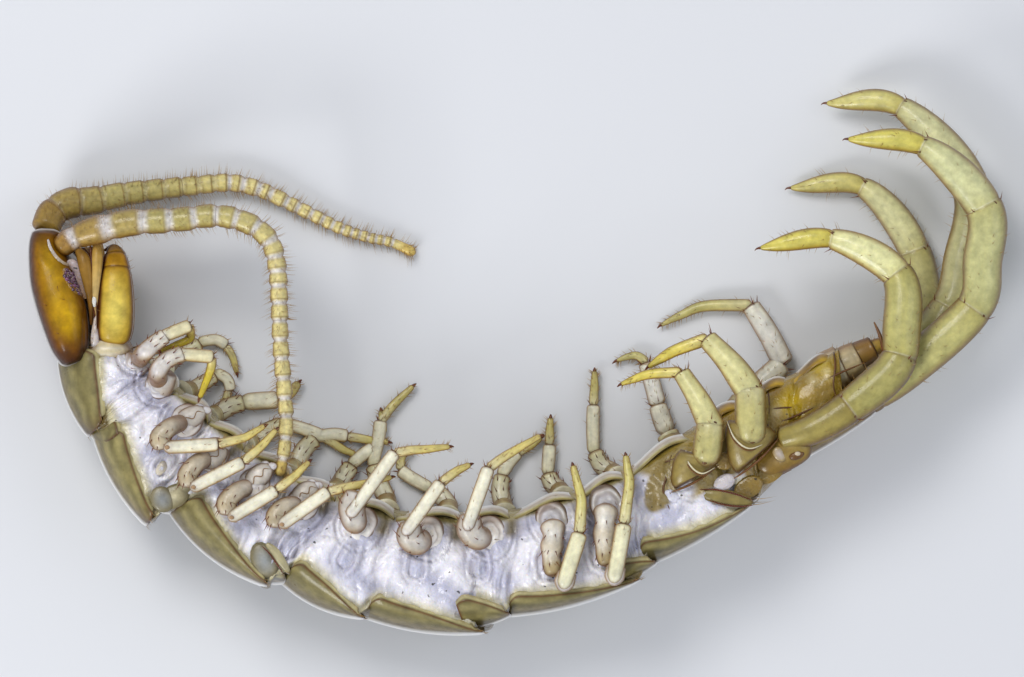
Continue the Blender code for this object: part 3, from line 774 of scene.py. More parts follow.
for px, py, size, colour, share in SPOTS:  # soft spots on the amber belly
    tone = mix(tone, paint(*colour), np.exp(-((x - px) ** 2 + (y - py) ** 2) / size**2) * share * seen)
root_12 = np.hypot((x - 664 + 0.35 * (y - 482)) / 17, (y - 482) / 30)  # the front of leg 12's root
skin = Heap()
skin.tube(rings, mix(tone, paint(144, 124, 64), smooth(1.06 - root_12, 0, 0.12) * seen * 0.95))
print("rings of the skin:", len(rings))

# %% [markdown]
# ## Bumps and seams of the flank
#
# They are too small and too many for solids of their own, so they belong to the skin's piece. A bump is a
# bead that stands a little out of the skin, and a seam is a thread of brown horn that lies on it.

# %% Bumps, seams and the finished flank
# How far a bump is lifted and how flat it is: x, y, the two radii, the turn and the colour of each
BUMPS = {
    (3.0, 0.4): [(724, 482, 12, 8, -0.5, (206, 199, 200))],
    (0.0, 0.5): [(777, 458, 5, 9, 0.4, (214, 206, 200)), (672, 496, 9, 6, 0.6, (226, 222, 230)),
                 *((*NUBS[k], 3.0, 4.0, 0, (226, 216, 196)) for k in (7, 8, 9)),
                 (162, 468, 5, 8, 0.5, (216, 204, 184))],
    (2.0, 0.2): [(748, 487, 16, 11, -0.55, (134, 110, 48)), (770, 472, 17, 10, -0.6, (136, 112, 50)),
                 (633, 573, 10, 7, -0.4, (124, 110, 70)), (724, 461, 10, 9, 0.0, (146, 120, 58))],
}
for (lift, flat), bumps in BUMPS.items():
    for px, py, rx, ry, turn, colour in bumps:
        bead(skin, (px, py, flank_z(px, py) + lift), (rx, ry), paint(*colour), flat, turn)
SEAMS = [[(766, 380), (769, 400), (768, 420), (765, 441)], [(770, 425), (790, 418), (812, 408), (836, 395)],
         [(833, 347), (835, 365), (833, 385), (837, 401)], [(812, 389), (833, 376), (866, 362)],
         [(770, 409), (781, 408), (792, 407)], [(664, 462), (676, 458), (684, 449)],
         [(671, 455), (667, 474), (663, 490), (669, 509)], [(700, 494), (722, 492), (744, 497)],
         [(742, 479), (770, 478), (792, 470)]]
for knots in SEAMS:  # the brown edges of the small hard plates in the flank
    line = along(knots, 30)
    z = flank_height(line[:, 0], line[:, 1], 1) + 0.6
    sweep(skin, np.column_stack([line, z]), 1.1 * spindle(30, 0.05, np.pi - 0.05), paint(100, 64, 28), 1)
skin.piece("trunk_skin", [membrane, limb_horn], SEGMENTS.values())

# %% [markdown]
# ## The shape of a back plate
#
# A tergite is a thin horn plate, arched across the animal like a roof tile: strongly at its front, where it
# slips under the plate before it, and hardly at its rear corners, which stand free. Its side has a fine
# dark ridge that curls round the front corner, and outside that a pale soft rim that sinks into the flank.
# Across, it is a half ellipse: depth (1 - cos a) down, width sin a out. Long and short plates alternate.

# %% One back plate as a grid
SHORT = (2, 4, 6, 9, 11, 13)
SQUARE = (9, 11, 13)  # the short plates with squarer shoulders
ARCH_END = 0.84  # the arch ends at this share of the way across, and the rim begins
ROUNDED = {9: 0.2, 11: 0.2, **dict.fromkeys((2, 4, 6, 13), 0.04)}  # how much the front corners give way
REAR = {1: 15, 3: 10, 4: 3, 6: 3}  # how far the rounded rear corners stand back
WIDER = {4: -6.0, 6: -6.0, 9: 6.0, 11: 5.0, 13: -2.0, 14: -2.0}  # than the flank, the others by 2
TUCK = {4: 4, 6: 4, 9: 0, 11: 0}  # how far the front slips in under the plate before it, the others by 2


def plate_grid(k, rows=44, cols=61):
    """s runs along the plate, v across it: |v| up to ARCH_END is the arch, the rest the rim that dips in."""
    start, end, bulge, front, middle, rear, slant = PLATES[k]
    start, end = np.array(start, float), np.array(end, float)
    length = np.linalg.norm(end - start)
    way = (end - start) / length
    down = np.array([way[1], -way[0]])  # from the back towards the belly
    v = power(np.sin(np.linspace(-1, 1, cols) * np.pi / 2 * 0.999), 0.9)
    S, V = np.meshgrid(np.linspace(0, 1, rows) ** 1.25, v, indexing="ij")
    reach = 1 - ROUNDED.get(k, 0.26) * np.clip(1 - S * length / 14, 0, 1) ** 2
    arch = np.clip(np.abs(V) / ARCH_END, 0, 1)
    rim = np.clip((np.abs(V) - ARCH_END) / (1 - ARCH_END), 0, 1)
    angle = arch * np.pi / 2 * reach
    deep = spline([front, middle, rear], S * 2)[..., 0]
    corner = 1 - np.sqrt(1 - np.clip(arch, 0, 0.999) ** 2)
    cut = REAR.get(k, min(6, length * 0.1))
    run = S * (length + 3) - corner * S**5 * cut + slant * arch**2 * (1 - S) ** 2
    ridge = bell(np.abs(V), 0.845, 0.0004) * 0.9
    rim_size = np.where(deep > 6, 6.5, 3.5) * smooth(1.04 - S, 0, 0.1) * reach
    drop = deep * (1 - np.cos(angle)) + rim * rim_size - bulge * 4 * S * (1 - S) - ridge * 0.6 * np.cos(angle)
    drop = drop + smooth(S, 0.95, 1.0) * 1.2
    t_at = k - 1 + S
    tuck = TUCK.get(k, 2) * (1 - smooth(S * length, 0, 14))
    wide = spline(HALF, t_at)[..., 0] * 1.03 + WIDER.get(k, 2.0) - tuck
    box = np.abs(np.sin(angle)) ** (0.5 if k in SQUARE else 1.0)
    out = wide * box + ridge * 0.7 * np.sin(angle) - (4 if k == 1 else 8) * rim**2
    xy = start + run[..., None] * way + drop[..., None] * down
    return np.dstack([xy, spline(HEIGHT, t_at)[..., 0] + np.sign(V) * out]), S, np.abs(V), length


def shell_under(grid, thick):
    """The grid moved inwards along its normals, least at its four edges so that they look thin."""
    n = unit(np.cross(np.gradient(grid, axis=0), np.gradient(grid, axis=1)))
    centre = grid[len(grid) // 2, grid.shape[1] // 2] * 0.5 + grid[len(grid) // 2, [0, -1]].mean(0) * 0.5
    n *= np.sign(((grid - centre) * n).sum(-1).mean())
    j, i = np.arange(grid.shape[0]), np.arange(grid.shape[1])
    edge = np.minimum(np.minimum(j, j[::-1])[:, None], np.minimum(i, i[::-1])[None])
    return grid - n * (thick * np.clip(0.35 + edge / 6, 0.35, 1))[..., None]


print("long plates:", [k for k in PLATES if k not in SHORT])

# %% [markdown]
# ## The plates' colours, soft lobes and free edge
#
# The horn is olive with khaki streaks along the plate, and darker where two plates overlap. In the gaps
# between long plates lie grey, glassy lobes. The thirteenth plate's side lies over the flank as a brown-edged
# wedge. The pattern is worked out from the same S and V as the shape, so it follows every plate by itself.

# %% Colours and small parts of the plates
OLIVE, KHAKI, BROWN, RIDGE = paint(92, 84, 46), paint(146, 136, 88), paint(84, 60, 28), paint(92, 42, 18)
GREY_BLUE, KNOB = paint(146, 149, 148), paint(178, 170, 138)
GLASSY = (4, 6)  # the two greyest plates
# painted light: these plates' colours are made lighter where they catch more light
PAINTED_LIGHT = {3: 1.15, 5: 1.1, 12: 1.12}  # plates that catch more light
# Soft lobes: x, y, the two radii, the turn, the colour and how far each is lifted
LOBES = {
    4: [(175, 496, 17, 12, -0.5, KNOB, 0), (186, 485, 10, 8, -0.4, KNOB, 0),
        (163, 499, 14, 12, 1.1, GREY_BLUE, 3.5)],
    6: [(265, 560, 20, 13.5, 1.15, GREY_BLUE, 0)],
}


def plate_tone(k, S, V, length):
    """Streaks by sin(26 V) sin(5 S), a pale rim beyond V = 0.86, dark lines on the ridge and the borders."""
    streak = 0.5 + 0.5 * np.sin(V * 26 + 2 * np.sin(S * 7)) * np.sin(S * 5 + 1)
    tone = mix(OLIVE, KHAKI, 0.25 + 0.6 * streak) * PAINTED_LIGHT.get(k, 1.0)
    if k in GLASSY:
        grey = mix(paint(128, 134, 136), paint(170, 170, 160), streak)
        tone = mix(grey, KHAKI_EDGE, smooth(V, 0.55, 0.8) * 0.8)
    if k > 12:
        tone = mix(tone, paint(140, 108, 44), 0.5)
    line = np.maximum(bell(V, 0.845, 0.0004), bell(S * length, 0, 2.5) * (V < 0.85))
    line = np.maximum(line, bell((1 - S) * length, 0, 3) * 0.8)
    return layers(tone, (BROWN, smooth(S, 0.72, 1.0) * 0.6), (KHAKI_EDGE, smooth(V, 0.86, 0.92) * 0.95),
                  (RIDGE, line * (0.35 if k in GLASSY else 0.92)))


def free_wedge(heap):
    """Plate 13's free side: a bead over the highest of four places of the flank, threads and spines."""
    under = [(704, 493), (716, 495), (728, 498), (742, 500)]
    for side in (1, -1):
        z = side * max(side * flank_z(x, y, side) for x, y in under) + side
        horny = mix(paint(134, 120, 68), RIDGE, smooth(DOME, 0.95, 1.0) * 0.6)
        bead(heap, (726, 497.5, z), (28, 8.5), horny, 0.5, 0.18)
        for knots in ([(699, 489), (716, 489.5), (736, 494), (752, 500)],
                      [(709, 500), (722, 504), (738, 506), (752, 505)]):
            line = np.column_stack([along(knots, 30), np.full(30, z + side * 3.3)])
            sweep(heap, line, spindle(30, 0.1, 3.04), RIDGE)
    roots = [(752, 499, 132), (752, 505, 128), (752, 502, 124)]
    heap.bristles(roots, [(1, 0.02, 0.1), (1, -0.08, 0), (1, 0.1, 0)], np.array([25, 24, 16.0]), 0.5, 1)


def soft_edge(heap, side):
    """Plate 6's pale front margin, a thick thread, and the brown line before it, a thin one."""
    line = along([(267, 543), (275, 551), (282, 561), (290, 573)], 40)
    z = flank_height(line[:, 0], line[:, 1], side)
    pale = mix(KNOB, KHAKI_EDGE, 0.4)[None] * np.ones((40, 1)) * 0.85
    sweep(heap, np.column_stack([line, z + side * 2.0]), 5 * spindle(40), pale, sides=18, flat=0.6)
    sweep(heap, np.column_stack([line - (4.5, -2.5), z + side * 4.5]), 0.9 * spindle(40), RIDGE)


print("plates with soft lobes beside them:", list(LOBES))

# %% [markdown]
# ## Fifteen back plates
#
# One loop makes them as thin shells. Short pale hairs stand along the rear borders of the long plates. They
# are the same in every run, because one seeded generator draws them in a fixed order.

# %% The back plates
for k in PLATES:
    grid, S, V, length = plate_grid(k)
    plate = Heap()
    plate.plate(grid, shell_under(grid, 1.8), plate_tone(k, S, V, length))
    if k == 13:
        free_wedge(plate)
    rims = grid[-1, 6:-6:3]
    way = np.append(unit(np.array(PLATES[k][1], float) - np.array(PLATES[k][0])), 0)
    ways = way[None] + rng.normal(0, 0.12, (len(rims), 3))
    if k not in SHORT:
        plate.bristles(rims[::2] - way * 1.5, ways[::2], 7 * rng.uniform(0.5, 1.2, len(rims[::2])), 0.38, 1)
    for side in (1, -1):
        for x, y, rx, ry, turn, colour, lift in LOBES.get(k, []):
            # painted shading: each lobe's middle is painted lighter and its rim darker and browner
            painted_dome_shading = mix(colour * 1.15, paint(122, 112, 78), smooth(DOME, 0.15, 0.85) * 0.9)
            bead(plate, (x, y, flank_z(x, y, side) + side * lift), (rx, ry), painted_dome_shading, 0.28, turn)
        if k == 6:
            soft_edge(plate, side)
    plate.piece(f"back_plate_{k:02d}", [plate_horn, seta_pale], [SEGMENTS[k]])

# %% [markdown]
# ## The belly plates
#
# On the inside of the curl each segment has a sternite, a yellow-green plate across the belly. From the side
# only its turned-up edge shows, one shallow arch per segment. It is the back plate's formula, upside down.

# %% The belly plates
for k in PLATES:
    late = k > 12
    s = np.linspace(0, 1, 34)
    S, V = np.meshgrid(s, np.linspace(-1, 1, 33), indexing="ij")
    mid, up, tall, wide, high = trunk(np.clip(k - 0.97 + 0.98 * s - 0.16 * (k > 8), 0, LAST))
    angle = V * np.pi / 2
    lift = -2.0 + 8.5 * np.sin(np.pi * s**1.5) ** 0.9 - 0.8 * s
    back = lift[:, None] - (10 if late else 8) * (1 - np.cos(angle)) - 1.5 * np.abs(V) ** 6 * (1 - S)
    xy = (mid - up * (tall / 2)[:, None])[:, None] - up[:, None] * back[..., None]
    grid = np.dstack([xy, high[:, None] + (wide * 0.72)[:, None] * np.sin(angle)])
    # painted highlight: the middle of each plate's crest is painted cream-white, fading to the yellow-green edge
    tone = mix(paint(240, 236, 224), paint(178, 168, 108), smooth(np.abs(V), 0.6, 0.88))
    if late:
        tone = mix(paint(188, 152, 44), paint(140, 108, 38), 0.5 + 0.5 * np.cos(V * 3 + S * 9))
    tone = layers(tone, ((158, 146, 92), np.clip(bell(S, 0, 0.01) + bell(S, 1, 0.01), 0, 1) * 0.6),
                  ((110, 84, 30), np.maximum(bell(np.abs(V), 0.95, 0.003), bell(S, 1, 0.0008)) * 0.8))
    sternite = Heap()
    sternite.plate(grid, shell_under(grid, 1.6), tone)
    sternite.piece(f"belly_plate_{k:02d}", [plate_horn], [SEGMENTS[k]])

# %% [markdown]
# ## Articles
#
# Legs and antennae are rows of articles. Where a limb bends sharply, each article is a closed tube that
# starts inside the one before it. Where the limb is smooth, one tube serves for all, and its radius narrows
# at every joint by 1 - c exp(-(d / w)^2), with d the distance along the limb from the joint.

# %% Articles and limbs
CREAM, YELLOW = paint(238, 234, 210), paint(222, 206, 126)
CLAW, MILK = paint(96, 46, 18), paint(232, 230, 230)
WAIST, BAND = 0.035, 1.6  # how much a limb narrows at a joint, and over how many units


def article(heap, path, radii, tint, mat=0, sides=20, rows=26, flat=0.94, foot=0.8, lip=0.05, line=None,
            ends=(0.3, 0.28)):
    """A closed article: a narrower foot, a flared lip, and both ends rounded over `ends` times the radius."""
    s = (1 - np.cos(np.linspace(0, np.pi, rows))) / 2
    course = spline(path, s * (len(path) - 1))
    length = np.linalg.norm(np.diff(course, axis=0), axis=1).sum()
    at, rest = s * length, (1 - s) * length
    r = spline(radii, s * (len(radii) - 1))[:, 0]
    r = r * (foot + (1 - foot) * smooth(at / radii[0], 0, 0.9)) * closed(at / (radii[0] * ends[0]), 0.96)
    r = r * (1 + lip * bell(rest / radii[-1], 0.32, 0.02)) * closed(rest / (radii[-1] * ends[1]), 0.96)
    tint = np.atleast_2d(tint)
    tone = spline(tint, s * (len(tint) - 1)) if len(tint) > 1 else np.repeat(tint, rows, 0)
    if line is not None:
        tone = mix(tone, line, bell(rest, radii[-1] * 0.16, 1.4) * 0.8)
    return sweep(heap, course, r, tone, mat, sides, flat)


def limb(heap, knots, cuts, radii, tones, line):
    """One tube for several articles. cuts are places on knots, radii (foot, middle, rim) for each article."""
    dense, run = measured(knots)
    edges = np.interp(cuts, np.linspace(0, len(knots) - 1, len(run)), run)
    near_end = np.linspace(0, 1, 6)[1:5] ** 2  # a few more rings there, to round the ends
    at = np.linspace(edges[0], edges[-1], int(edges[-1] - edges[0]))
    at = np.unique(np.concatenate([at, edges[0] + near_end, edges[-1] - near_end]))
    i = np.clip(np.searchsorted(edges, at, side="right") - 1, 0, len(edges) - 2)
    x = (at - edges[i]) / (edges[i + 1] - edges[i])
    tones = np.asarray(tones, float)
    a, b, c = np.asarray(radii, float)[i].T
    r = a + (4 * b - 3 * a - c) * x + (2 * a + 2 * c - 4 * b) * x**2
    tone = mix(tones[i], tones[i] * np.array([0.8, 0.74, 0.5]), (2 * x - 1) ** 4 * 0.6)
    for e in edges[1:-1]:
        r = r * (1 - WAIST * bell(at, e, BAND**2))
        tone = mix(tone, MILK, bell(at, e, (BAND * 0.6) ** 2) * 0.2)
        tone = mix(tone, line, bell(at, e - BAND * 0.9, (BAND * 0.35) ** 2) * 0.4)
    r = r * closed((at - edges[0]) / (r[0] * 0.6), 0.97) * closed((edges[-1] - at) / (r[-1] * 0.9), 0.97)
    return sweep(heap, at_run(dense, run, at), r, tone, 0, 26, 0.94), at, edges


print("a limb narrows by", f"{WAIST:.1%}", "at each joint")

# %% [markdown]
# ## Setae, spurs and hinge knobs
#
# Fine setae stand all over a leg, stout spurs in a ring near the end of its articles, and a brown knob shows
# where two articles hinge. Each is placed by a ring number and an angle on the tube that carries it.

# %% Things that stand on a tube


def hairs_on(heap, body, count, length, width=0.36, mat=1, lean=0.9, part=(0.08, 0.95)):
    """Bristles at random places of an article, leaning towards its far end."""
    line, way, r, side, up = body
    i = (rng.uniform(*part, count) * (len(line) - 1)).astype(int)
    a = rng.uniform(0, 2 * np.pi, count)
    out = np.cos(a)[:, None] * side[i] + np.sin(a)[:, None] * up[i]
    root = line[i] + out * r[i][:, None] * 0.93
    keep = root[:, 2] > 3
    lengths = length * rng.uniform(0.6, 1.25, count)
    heap.bristles(root[keep], (out + lean * way[i])[keep], lengths[keep], width, mat)


def spurs_at(heap, body, count, length, width, where=-4):
    """Dark spurs round an article, at the ring with the number where."""
    line, way, r, side, up = body
    a = angles(count) + rng.uniform(0, 1)
    out = np.cos(a)[:, None] * side[where] + np.sin(a)[:, None] * up[where]
    root = line[where] + out * r[where] * 0.9
    heap.bristles(root, out * 0.75 + way[where], length * rng.uniform(0.7, 1.15, count), width, 2, droop=0.05)


def condyle(heap, place, radius, top, turn=0.0):
    """The small brown knob on which two articles hinge, half sunk in the upper side of a tube."""
    x, y, z = place
    bead(heap, (x, y, z + top * 0.9), (radius, radius * 0.55), paint(98, 66, 32), 0.5, turn)


print("setae, spurs and knobs ready")

# %% [markdown]
# ## Walking legs
#
# A coxa is an oval dome on the flank, ringed by folds. From it a short neck leads to the prefemur, a beige
# spiny lobe that turns the leg back on itself and holds the round foot of the femur like an egg cup. The
# femur is long and cream with a flared rim, and the slim yellow tarsus ends in a dark claw. In legs 10 and 11
# the prefemur hangs down instead, and a white collar holds the femur. The left legs lie under the trunk.

# %% The legs' places
# Each right leg: coxa, neck, back of the lobe, its mouth, then the femur's foot and end, the tarsus, its tip
RIGHT = {
    1: [(138, 361), (145, 353, 147), (155, 344, 150), (167, 335, 149),
        (165, 336, 149), (192, 325, 143), (190, 339, 134), (158, 353, 136)],
    2: [(160, 384), (159, 372, 149), (168, 360, 152), (185, 353, 151),
        (182, 354, 151), (215, 357, 146), (209, 376, 141), (199, 401, 138)],
    3: [(186, 421), (171, 427, 152), (161, 437, 155), (164, 449, 155),
        (170, 447, 163), (220, 444, 156), (246, 437, 150), (268, 424, 147)],
    4: [(213, 457), (198, 463, 152), (189, 474, 155), (190, 487, 155),
        (196, 486, 163), (245, 461, 157), (263, 445, 152), (279, 427, 148)],
    5: [(254, 484), (238, 491, 152), (228, 501, 155), (228, 515, 155),
        (234, 516, 163), (278, 489, 158), (296, 475, 152), (312, 459, 147)],
    6: [(302, 502), (286, 506, 152), (277, 515, 155), (278, 527, 155),
        (284, 523, 163), (330, 490, 158), (362, 484, 150), (395, 476, 143)],
    7: [(363, 526), (355, 520, 150), (352, 506, 155), (357, 490, 158),
        (352, 512, 167), (396, 451, 159), (425, 449, 150), (453, 446, 143)],
    8: [(428, 536), (418, 542, 150), (410, 536, 155), (411, 520, 158),
        (407, 530, 167), (442, 481, 160), (458, 470, 152), (473, 463, 146)],
    9: [(489, 532), (478, 537, 150), (470, 529, 155), (470, 512, 158),
        (468, 525, 167), (489, 466, 160), (515, 450, 150), (543, 434, 142)],
    10: [(553, 518), (553, 536, 150), (551, 556, 154), (555, 576, 158),
         (564, 582, 169), (580, 531, 166), (581, 498, 158), (572, 462, 152)],
    11: [(607, 502), (605, 522, 150), (604, 545, 154), (608, 566, 157),
         (614, 576, 169), (624, 522, 165), (629, 482, 157), (625, 452, 151)],
}
# Each left leg: coxa, three points of the prefemur, the femur's middle and end, the tarsus, its tip
LEFT = {
    1: [(160, 369), (168, 362), (184, 352), (200, 343), (214, 338), (226, 346), (232, 360), (236, 376)],
    2: [(178, 394), (190, 390), (202, 383), (215, 375), (227, 378), (229, 392), (219, 407), (209, 421)],
    3: [(204, 420), (216, 414), (228, 407), (245, 402), (262, 401), (278, 400), (290, 392), (300, 380)],
    4: [(241, 447), (252, 441), (266, 432), (284, 424), (305, 430), (322, 437), (342, 450), (360, 458)],
    5: [(285, 476), (295, 466), (303, 450), (316, 438), (332, 434), (348, 437), (370, 441), (391, 443)],
    6: [(330, 497), (338, 486), (344, 476), (352, 464), (362, 455), (374, 447), (382, 430), (380, 408)],
    7: [(386, 513), (386, 500), (378, 482), (372, 464), (378, 440), (380, 420), (396, 402), (415, 384)],
    8: [(447, 519), (448, 506), (440, 496), (428, 488), (412, 480), (398, 470), (402, 456), (414, 447)],
    9: [(505, 517), (503, 505), (500, 490), (503, 474), (509, 462), (519, 452), (531, 446), (544, 436)],
    10: [(564, 500), (559, 490), (552, 484), (548, 472), (549, 458), (550, 444), (550, 430), (551, 415)],
    11: [(620, 480), (612, 472), (602, 466), (594, 450), (593, 428), (594, 404), (595, 386), (595, 368)],
}
# Heights of a left leg's points after the coxa: they are low, because the trunk lies on these legs
LOW = (14, 10, 8, 8, 8, 8, 8)
FIRST_LOW = {1: (14, 11, 10, 9, 8, 8, 8), 2: (14, 11, 9, 9, 8, 8, 9), 3: (14, 10, 9, 9, 8, 8, 8)}
# The trochanters of right legs 3 to 6: the place, half the length and the turn
TROCHANTERS = {3: (190, 418, 19, -0.5), 4: (215, 456, 16, -0.75), 5: (259, 476, 17, -0.7),
               6: (305, 493, 16, -0.6)}
CUP, HOOD, LINE, GOLD = paint(202, 195, 184), paint(186, 172, 144), paint(112, 72, 30), paint(206, 196, 128)
FAR, FAR_WHITE, PALE = paint(202, 196, 152), paint(226, 222, 196), paint(212, 206, 200)
LEG_MATERIALS = [limb_horn, seta_pale, seta_dark]  # numbers 0, 1 and 2 where a skin is added
print("walking legs with a place:", len(RIGHT) + len(LEFT))

# %% [markdown]
# ## Coxae and trochanters
#
# A coxa is a low dome whose foot follows the flank, so it is worked out over a disc of the picture and set on
# the skin's height there. Wavy rings of white and brown run round it, like the growth lines of a shell. On
# legs 3 to 6 a long oval, the trochanter, lies between coxa and neck.

# %% Coxa and trochanter


def coxa(heap, k, cx, cy, side, wide, tall, tone, ripple=0.5, arched=False):
    """A dome of the height 11 (1 - d^2)^0.6, d from the middle to the rim. Rings D, wavy in a, colour it."""
    height = 11.0
    d = np.linspace(1.0, 0.08, 20)
    a = angles(44)
    up = upward(k)
    ahead = np.array([up[1], -up[0]])
    middle = np.array([cx, cy])
    xy = middle + wide * np.outer(d, np.cos(a))[..., None] * ahead
    xy = xy + tall * np.outer(d, np.sin(a))[..., None] * up
    base = flank_height(xy[..., 0].ravel(), xy[..., 1].ravel(), side).reshape(xy.shape[:2])
    base = base * 0.6 + flank_z(cx, cy, side) * 0.4 - side * 2.5
    wave = 0.09 * np.sin(a + 2 * k) + 0.05 * np.sin(2 * a + k) + 0.03 * np.sin(5 * a + 2 * k)
    D = d[:, None] + wave[None] * (1 - d[:, None] ** 4)
    rings = np.cos(D * 4.4 * np.pi)
    top = np.dstack([xy, base + side * (height * (1 - d[:, None] ** 2) ** 0.6 + ripple * rings)])
    low = np.column_stack([xy[0], base[0] - side * 8])[None]
    shade = mix(tone, mix(tone, paint(226, 222, 222), 0.45), 0.5 + 0.5 * rings)
    shade = mix(shade, LINE, bell(D, 0.93, 0.0012) * 0.7)
    if arched:
        belly_side = smooth(-np.sin(a), -0.3, 0.2)[None]
        shade = layers(shade, ((128, 112, 84), smooth(D, 0.82, 0.9) * belly_side * 0.8),
                       ((238, 236, 236), bell(D, 0.76, 0.0016) * belly_side),
                       ((186, 184, 192), smooth(0.7 - D, 0, 0.1) * 0.6))
    else:
        inner = bell(D, 0.3, 0.02) * 0.4 * smooth(np.sin(2 * a + k), -0.5, 0.8)[None]
        shade = layers(shade, (LINE, bell(D, 0.56, 0.0008) * 0.35 * smooth(np.sin(a + k), -0.2, 0.8)[None]),
                       ((168, 150, 124), inner))
    heap.tube(np.concatenate([low, top]), np.concatenate([shade[:1], shade]))
    # a few short dark bristles
    b, e = rng.uniform(0, 2 * np.pi, 7), rng.uniform(0.2, 0.8, 7)
    root = middle + wide * (e * np.cos(b))[:, None] * ahead + tall * (e * np.sin(b))[:, None] * up
    z = flank_height(root[:, 0], root[:, 1], side) + side * (height * (1 - e**2) ** 0.6 - 3.5)
    way = np.column_stack([rng.normal(0, 1, (7, 2)), np.full(7, side * 0.9)])
    heap.bristles(np.column_stack([root, z]), way, rng.uniform(4, 7.5, 7), 0.5, 2)


def trochanter(heap, x, y, long_way, turn):
    """A long oval with three pale lumps at its far end, and a brown line that waves by sin(9u) along it."""
    z = flank_z(x, y) + 5
    c, s = np.cos(turn), np.sin(turn)
    bead(heap, (x, y, z), (long_way, 11.5), mix(PALE, HOOD, 0.25), 0.7, turn)
    for u, v, rx, ry in ((0.95, 0.1, 6, 4.5), (0.75, -0.6, 5, 3.5), (0.3, 0.75, 5, 3)):
        place = (x + u * long_way * c - v * 9 * s, y + u * long_way * s + v * 9 * c, z - 0.5)
        bead(heap, place, (rx, ry), paint(216, 212, 212), 0.8, turn + 0.6)
    u = np.linspace(-0.8, 0.8, 30)
    v = 2.2 * np.sin(u * 9)
    over = z + 8.2 * np.sqrt(1 - u**2) ** 0.8 - 0.2
    line = np.column_stack([x + u * long_way * c - v * s, y + u * long_way * s + v * c, over])
    sweep(heap, line, 0.55 * np.sqrt(1 - (u / 0.81) ** 2 * 0.95), paint(150, 118, 80))


print("trochanters:", len(TROCHANTERS))

# %% [markdown]
# ## The parts of a walking leg
#
# Femur, tarsus and claw are alike in all legs, so one function makes them. What leads to them differs: the
# left legs are simple, legs 1 and 2 are short, legs 3 to 9 are folded back, and legs 10 and 11 hang down.
# Each kind has a function of its own that gives back the three articles that bear hairs.

# %% The four kinds of walking leg


def femur_and_tarsus(heap, foot, knee, end, bend, tip, size, shin, yellow, foot_tone):
    """A femur with a round foot and a flared rim, the tarsus that comes out of it, and the claw."""
    out = unit(end - foot)
    tones = [foot_tone, mix(foot_tone, shin, 0.85), shin, shin, mix(shin, LINE, 0.12)]
    path = [foot - out * 5.5 * size, (foot + end) / 2 + knee, end]
    fem = article(heap, path, np.array([6.5, 7.0, 7.1, 6.9]) * size, tones, foot=0.95, line=LINE, rows=38,
                  lip=0.02, ends=(1.0, 0.75))
    toe = tip - unit(tip - bend) * 3
    path = [end - out * 2.5, bend * 0.5 + end * 0.5, bend, (bend + toe) / 2, toe]
    tones = [mix(yellow, MILK, 0.3), mix(yellow, MILK, 0.12), yellow, mix(yellow, LINE, 0.1),
             mix(yellow, LINE, 0.3)]
    tar = article(heap, path, np.array([5.2, 4.9, 4.4, 3.7, 2.7]) * size, tones, foot=0.95, lip=0, rows=36,
                  ends=(0.6, 0.9))
    way = unit(toe - bend)
    claw = [toe - way * 2, toe + way * 1.5 + (0, 0, 0.4), toe + way * 4.2 + (0, 0.8, -0.6)]
    article(heap, claw, [2.2, 1.5, 0.4], CLAW, rows=10, sides=10)
    return fem, tar


def far_leg(heap, k, p, size):
    """A left leg: a low coxa, its neck, a slim prefemur and a femur that is bent at its knee."""
    coxa(heap, k, *p[0][:2], -1, 14, 14, FAR, ripple=0.8)
    article(heap, [p[0], p[0] * 0.4 + p[1] * 0.6, p[1]], [11, 10.5, 9.5], FAR, rows=16)
    pre = article(heap, [p[1] * 0.85 + p[0] * 0.15, p[1], p[2], p[3]], np.array([9, 9.6, 9.4, 8.4]) * size,
                  [FAR, mix(FAR, MILK, 0.3), FAR], line=LINE, foot=0.9, ends=(0.8, 0.5))
    knee = (p[4] - (p[3] + p[5]) / 2) * 0.7
    size = (1.3 if k == 3 else 0.98) * size
    return pre, *femur_and_tarsus(heap, p[3], knee, *p[5:], size, FAR_WHITE, paint(196, 184, 112), FAR)


def short_leg(heap, k, p, size):
    """Right legs 1 and 2. The second one's coxa is a pale cone that stands out from the flank."""
    coxa(heap, k, *p[0][:2], 1, 15, 16, paint(214, 210, 212))
    if k == 2:
        base = p[0][2] - 3.0
        article(heap, [(157, 391, base - 8), (162, 380, base + 2), (167, 369, base + 6)], [15, 14.5, 12],
                [paint(222, 218, 224), PALE, PALE], rows=22, line=LINE, foot=1, ends=(0.3, 0.5))
    tones = [paint(216, 212, 216), PALE, paint(218, 212, 196)]
    pre = article(heap, [p[0] - (0, 0, 9), *p[1:4]], [9.5, 9.4, 8.8, 8.0], tones, foot=0.9, line=LINE,
                  ends=(0.8, 0.5))
    shin, yellow = paint(228, 220, 180), paint(206, 186, 62)
    return pre, *femur_and_tarsus(heap, p[4], 0, *p[5:], 0.97, shin, yellow, PALE)


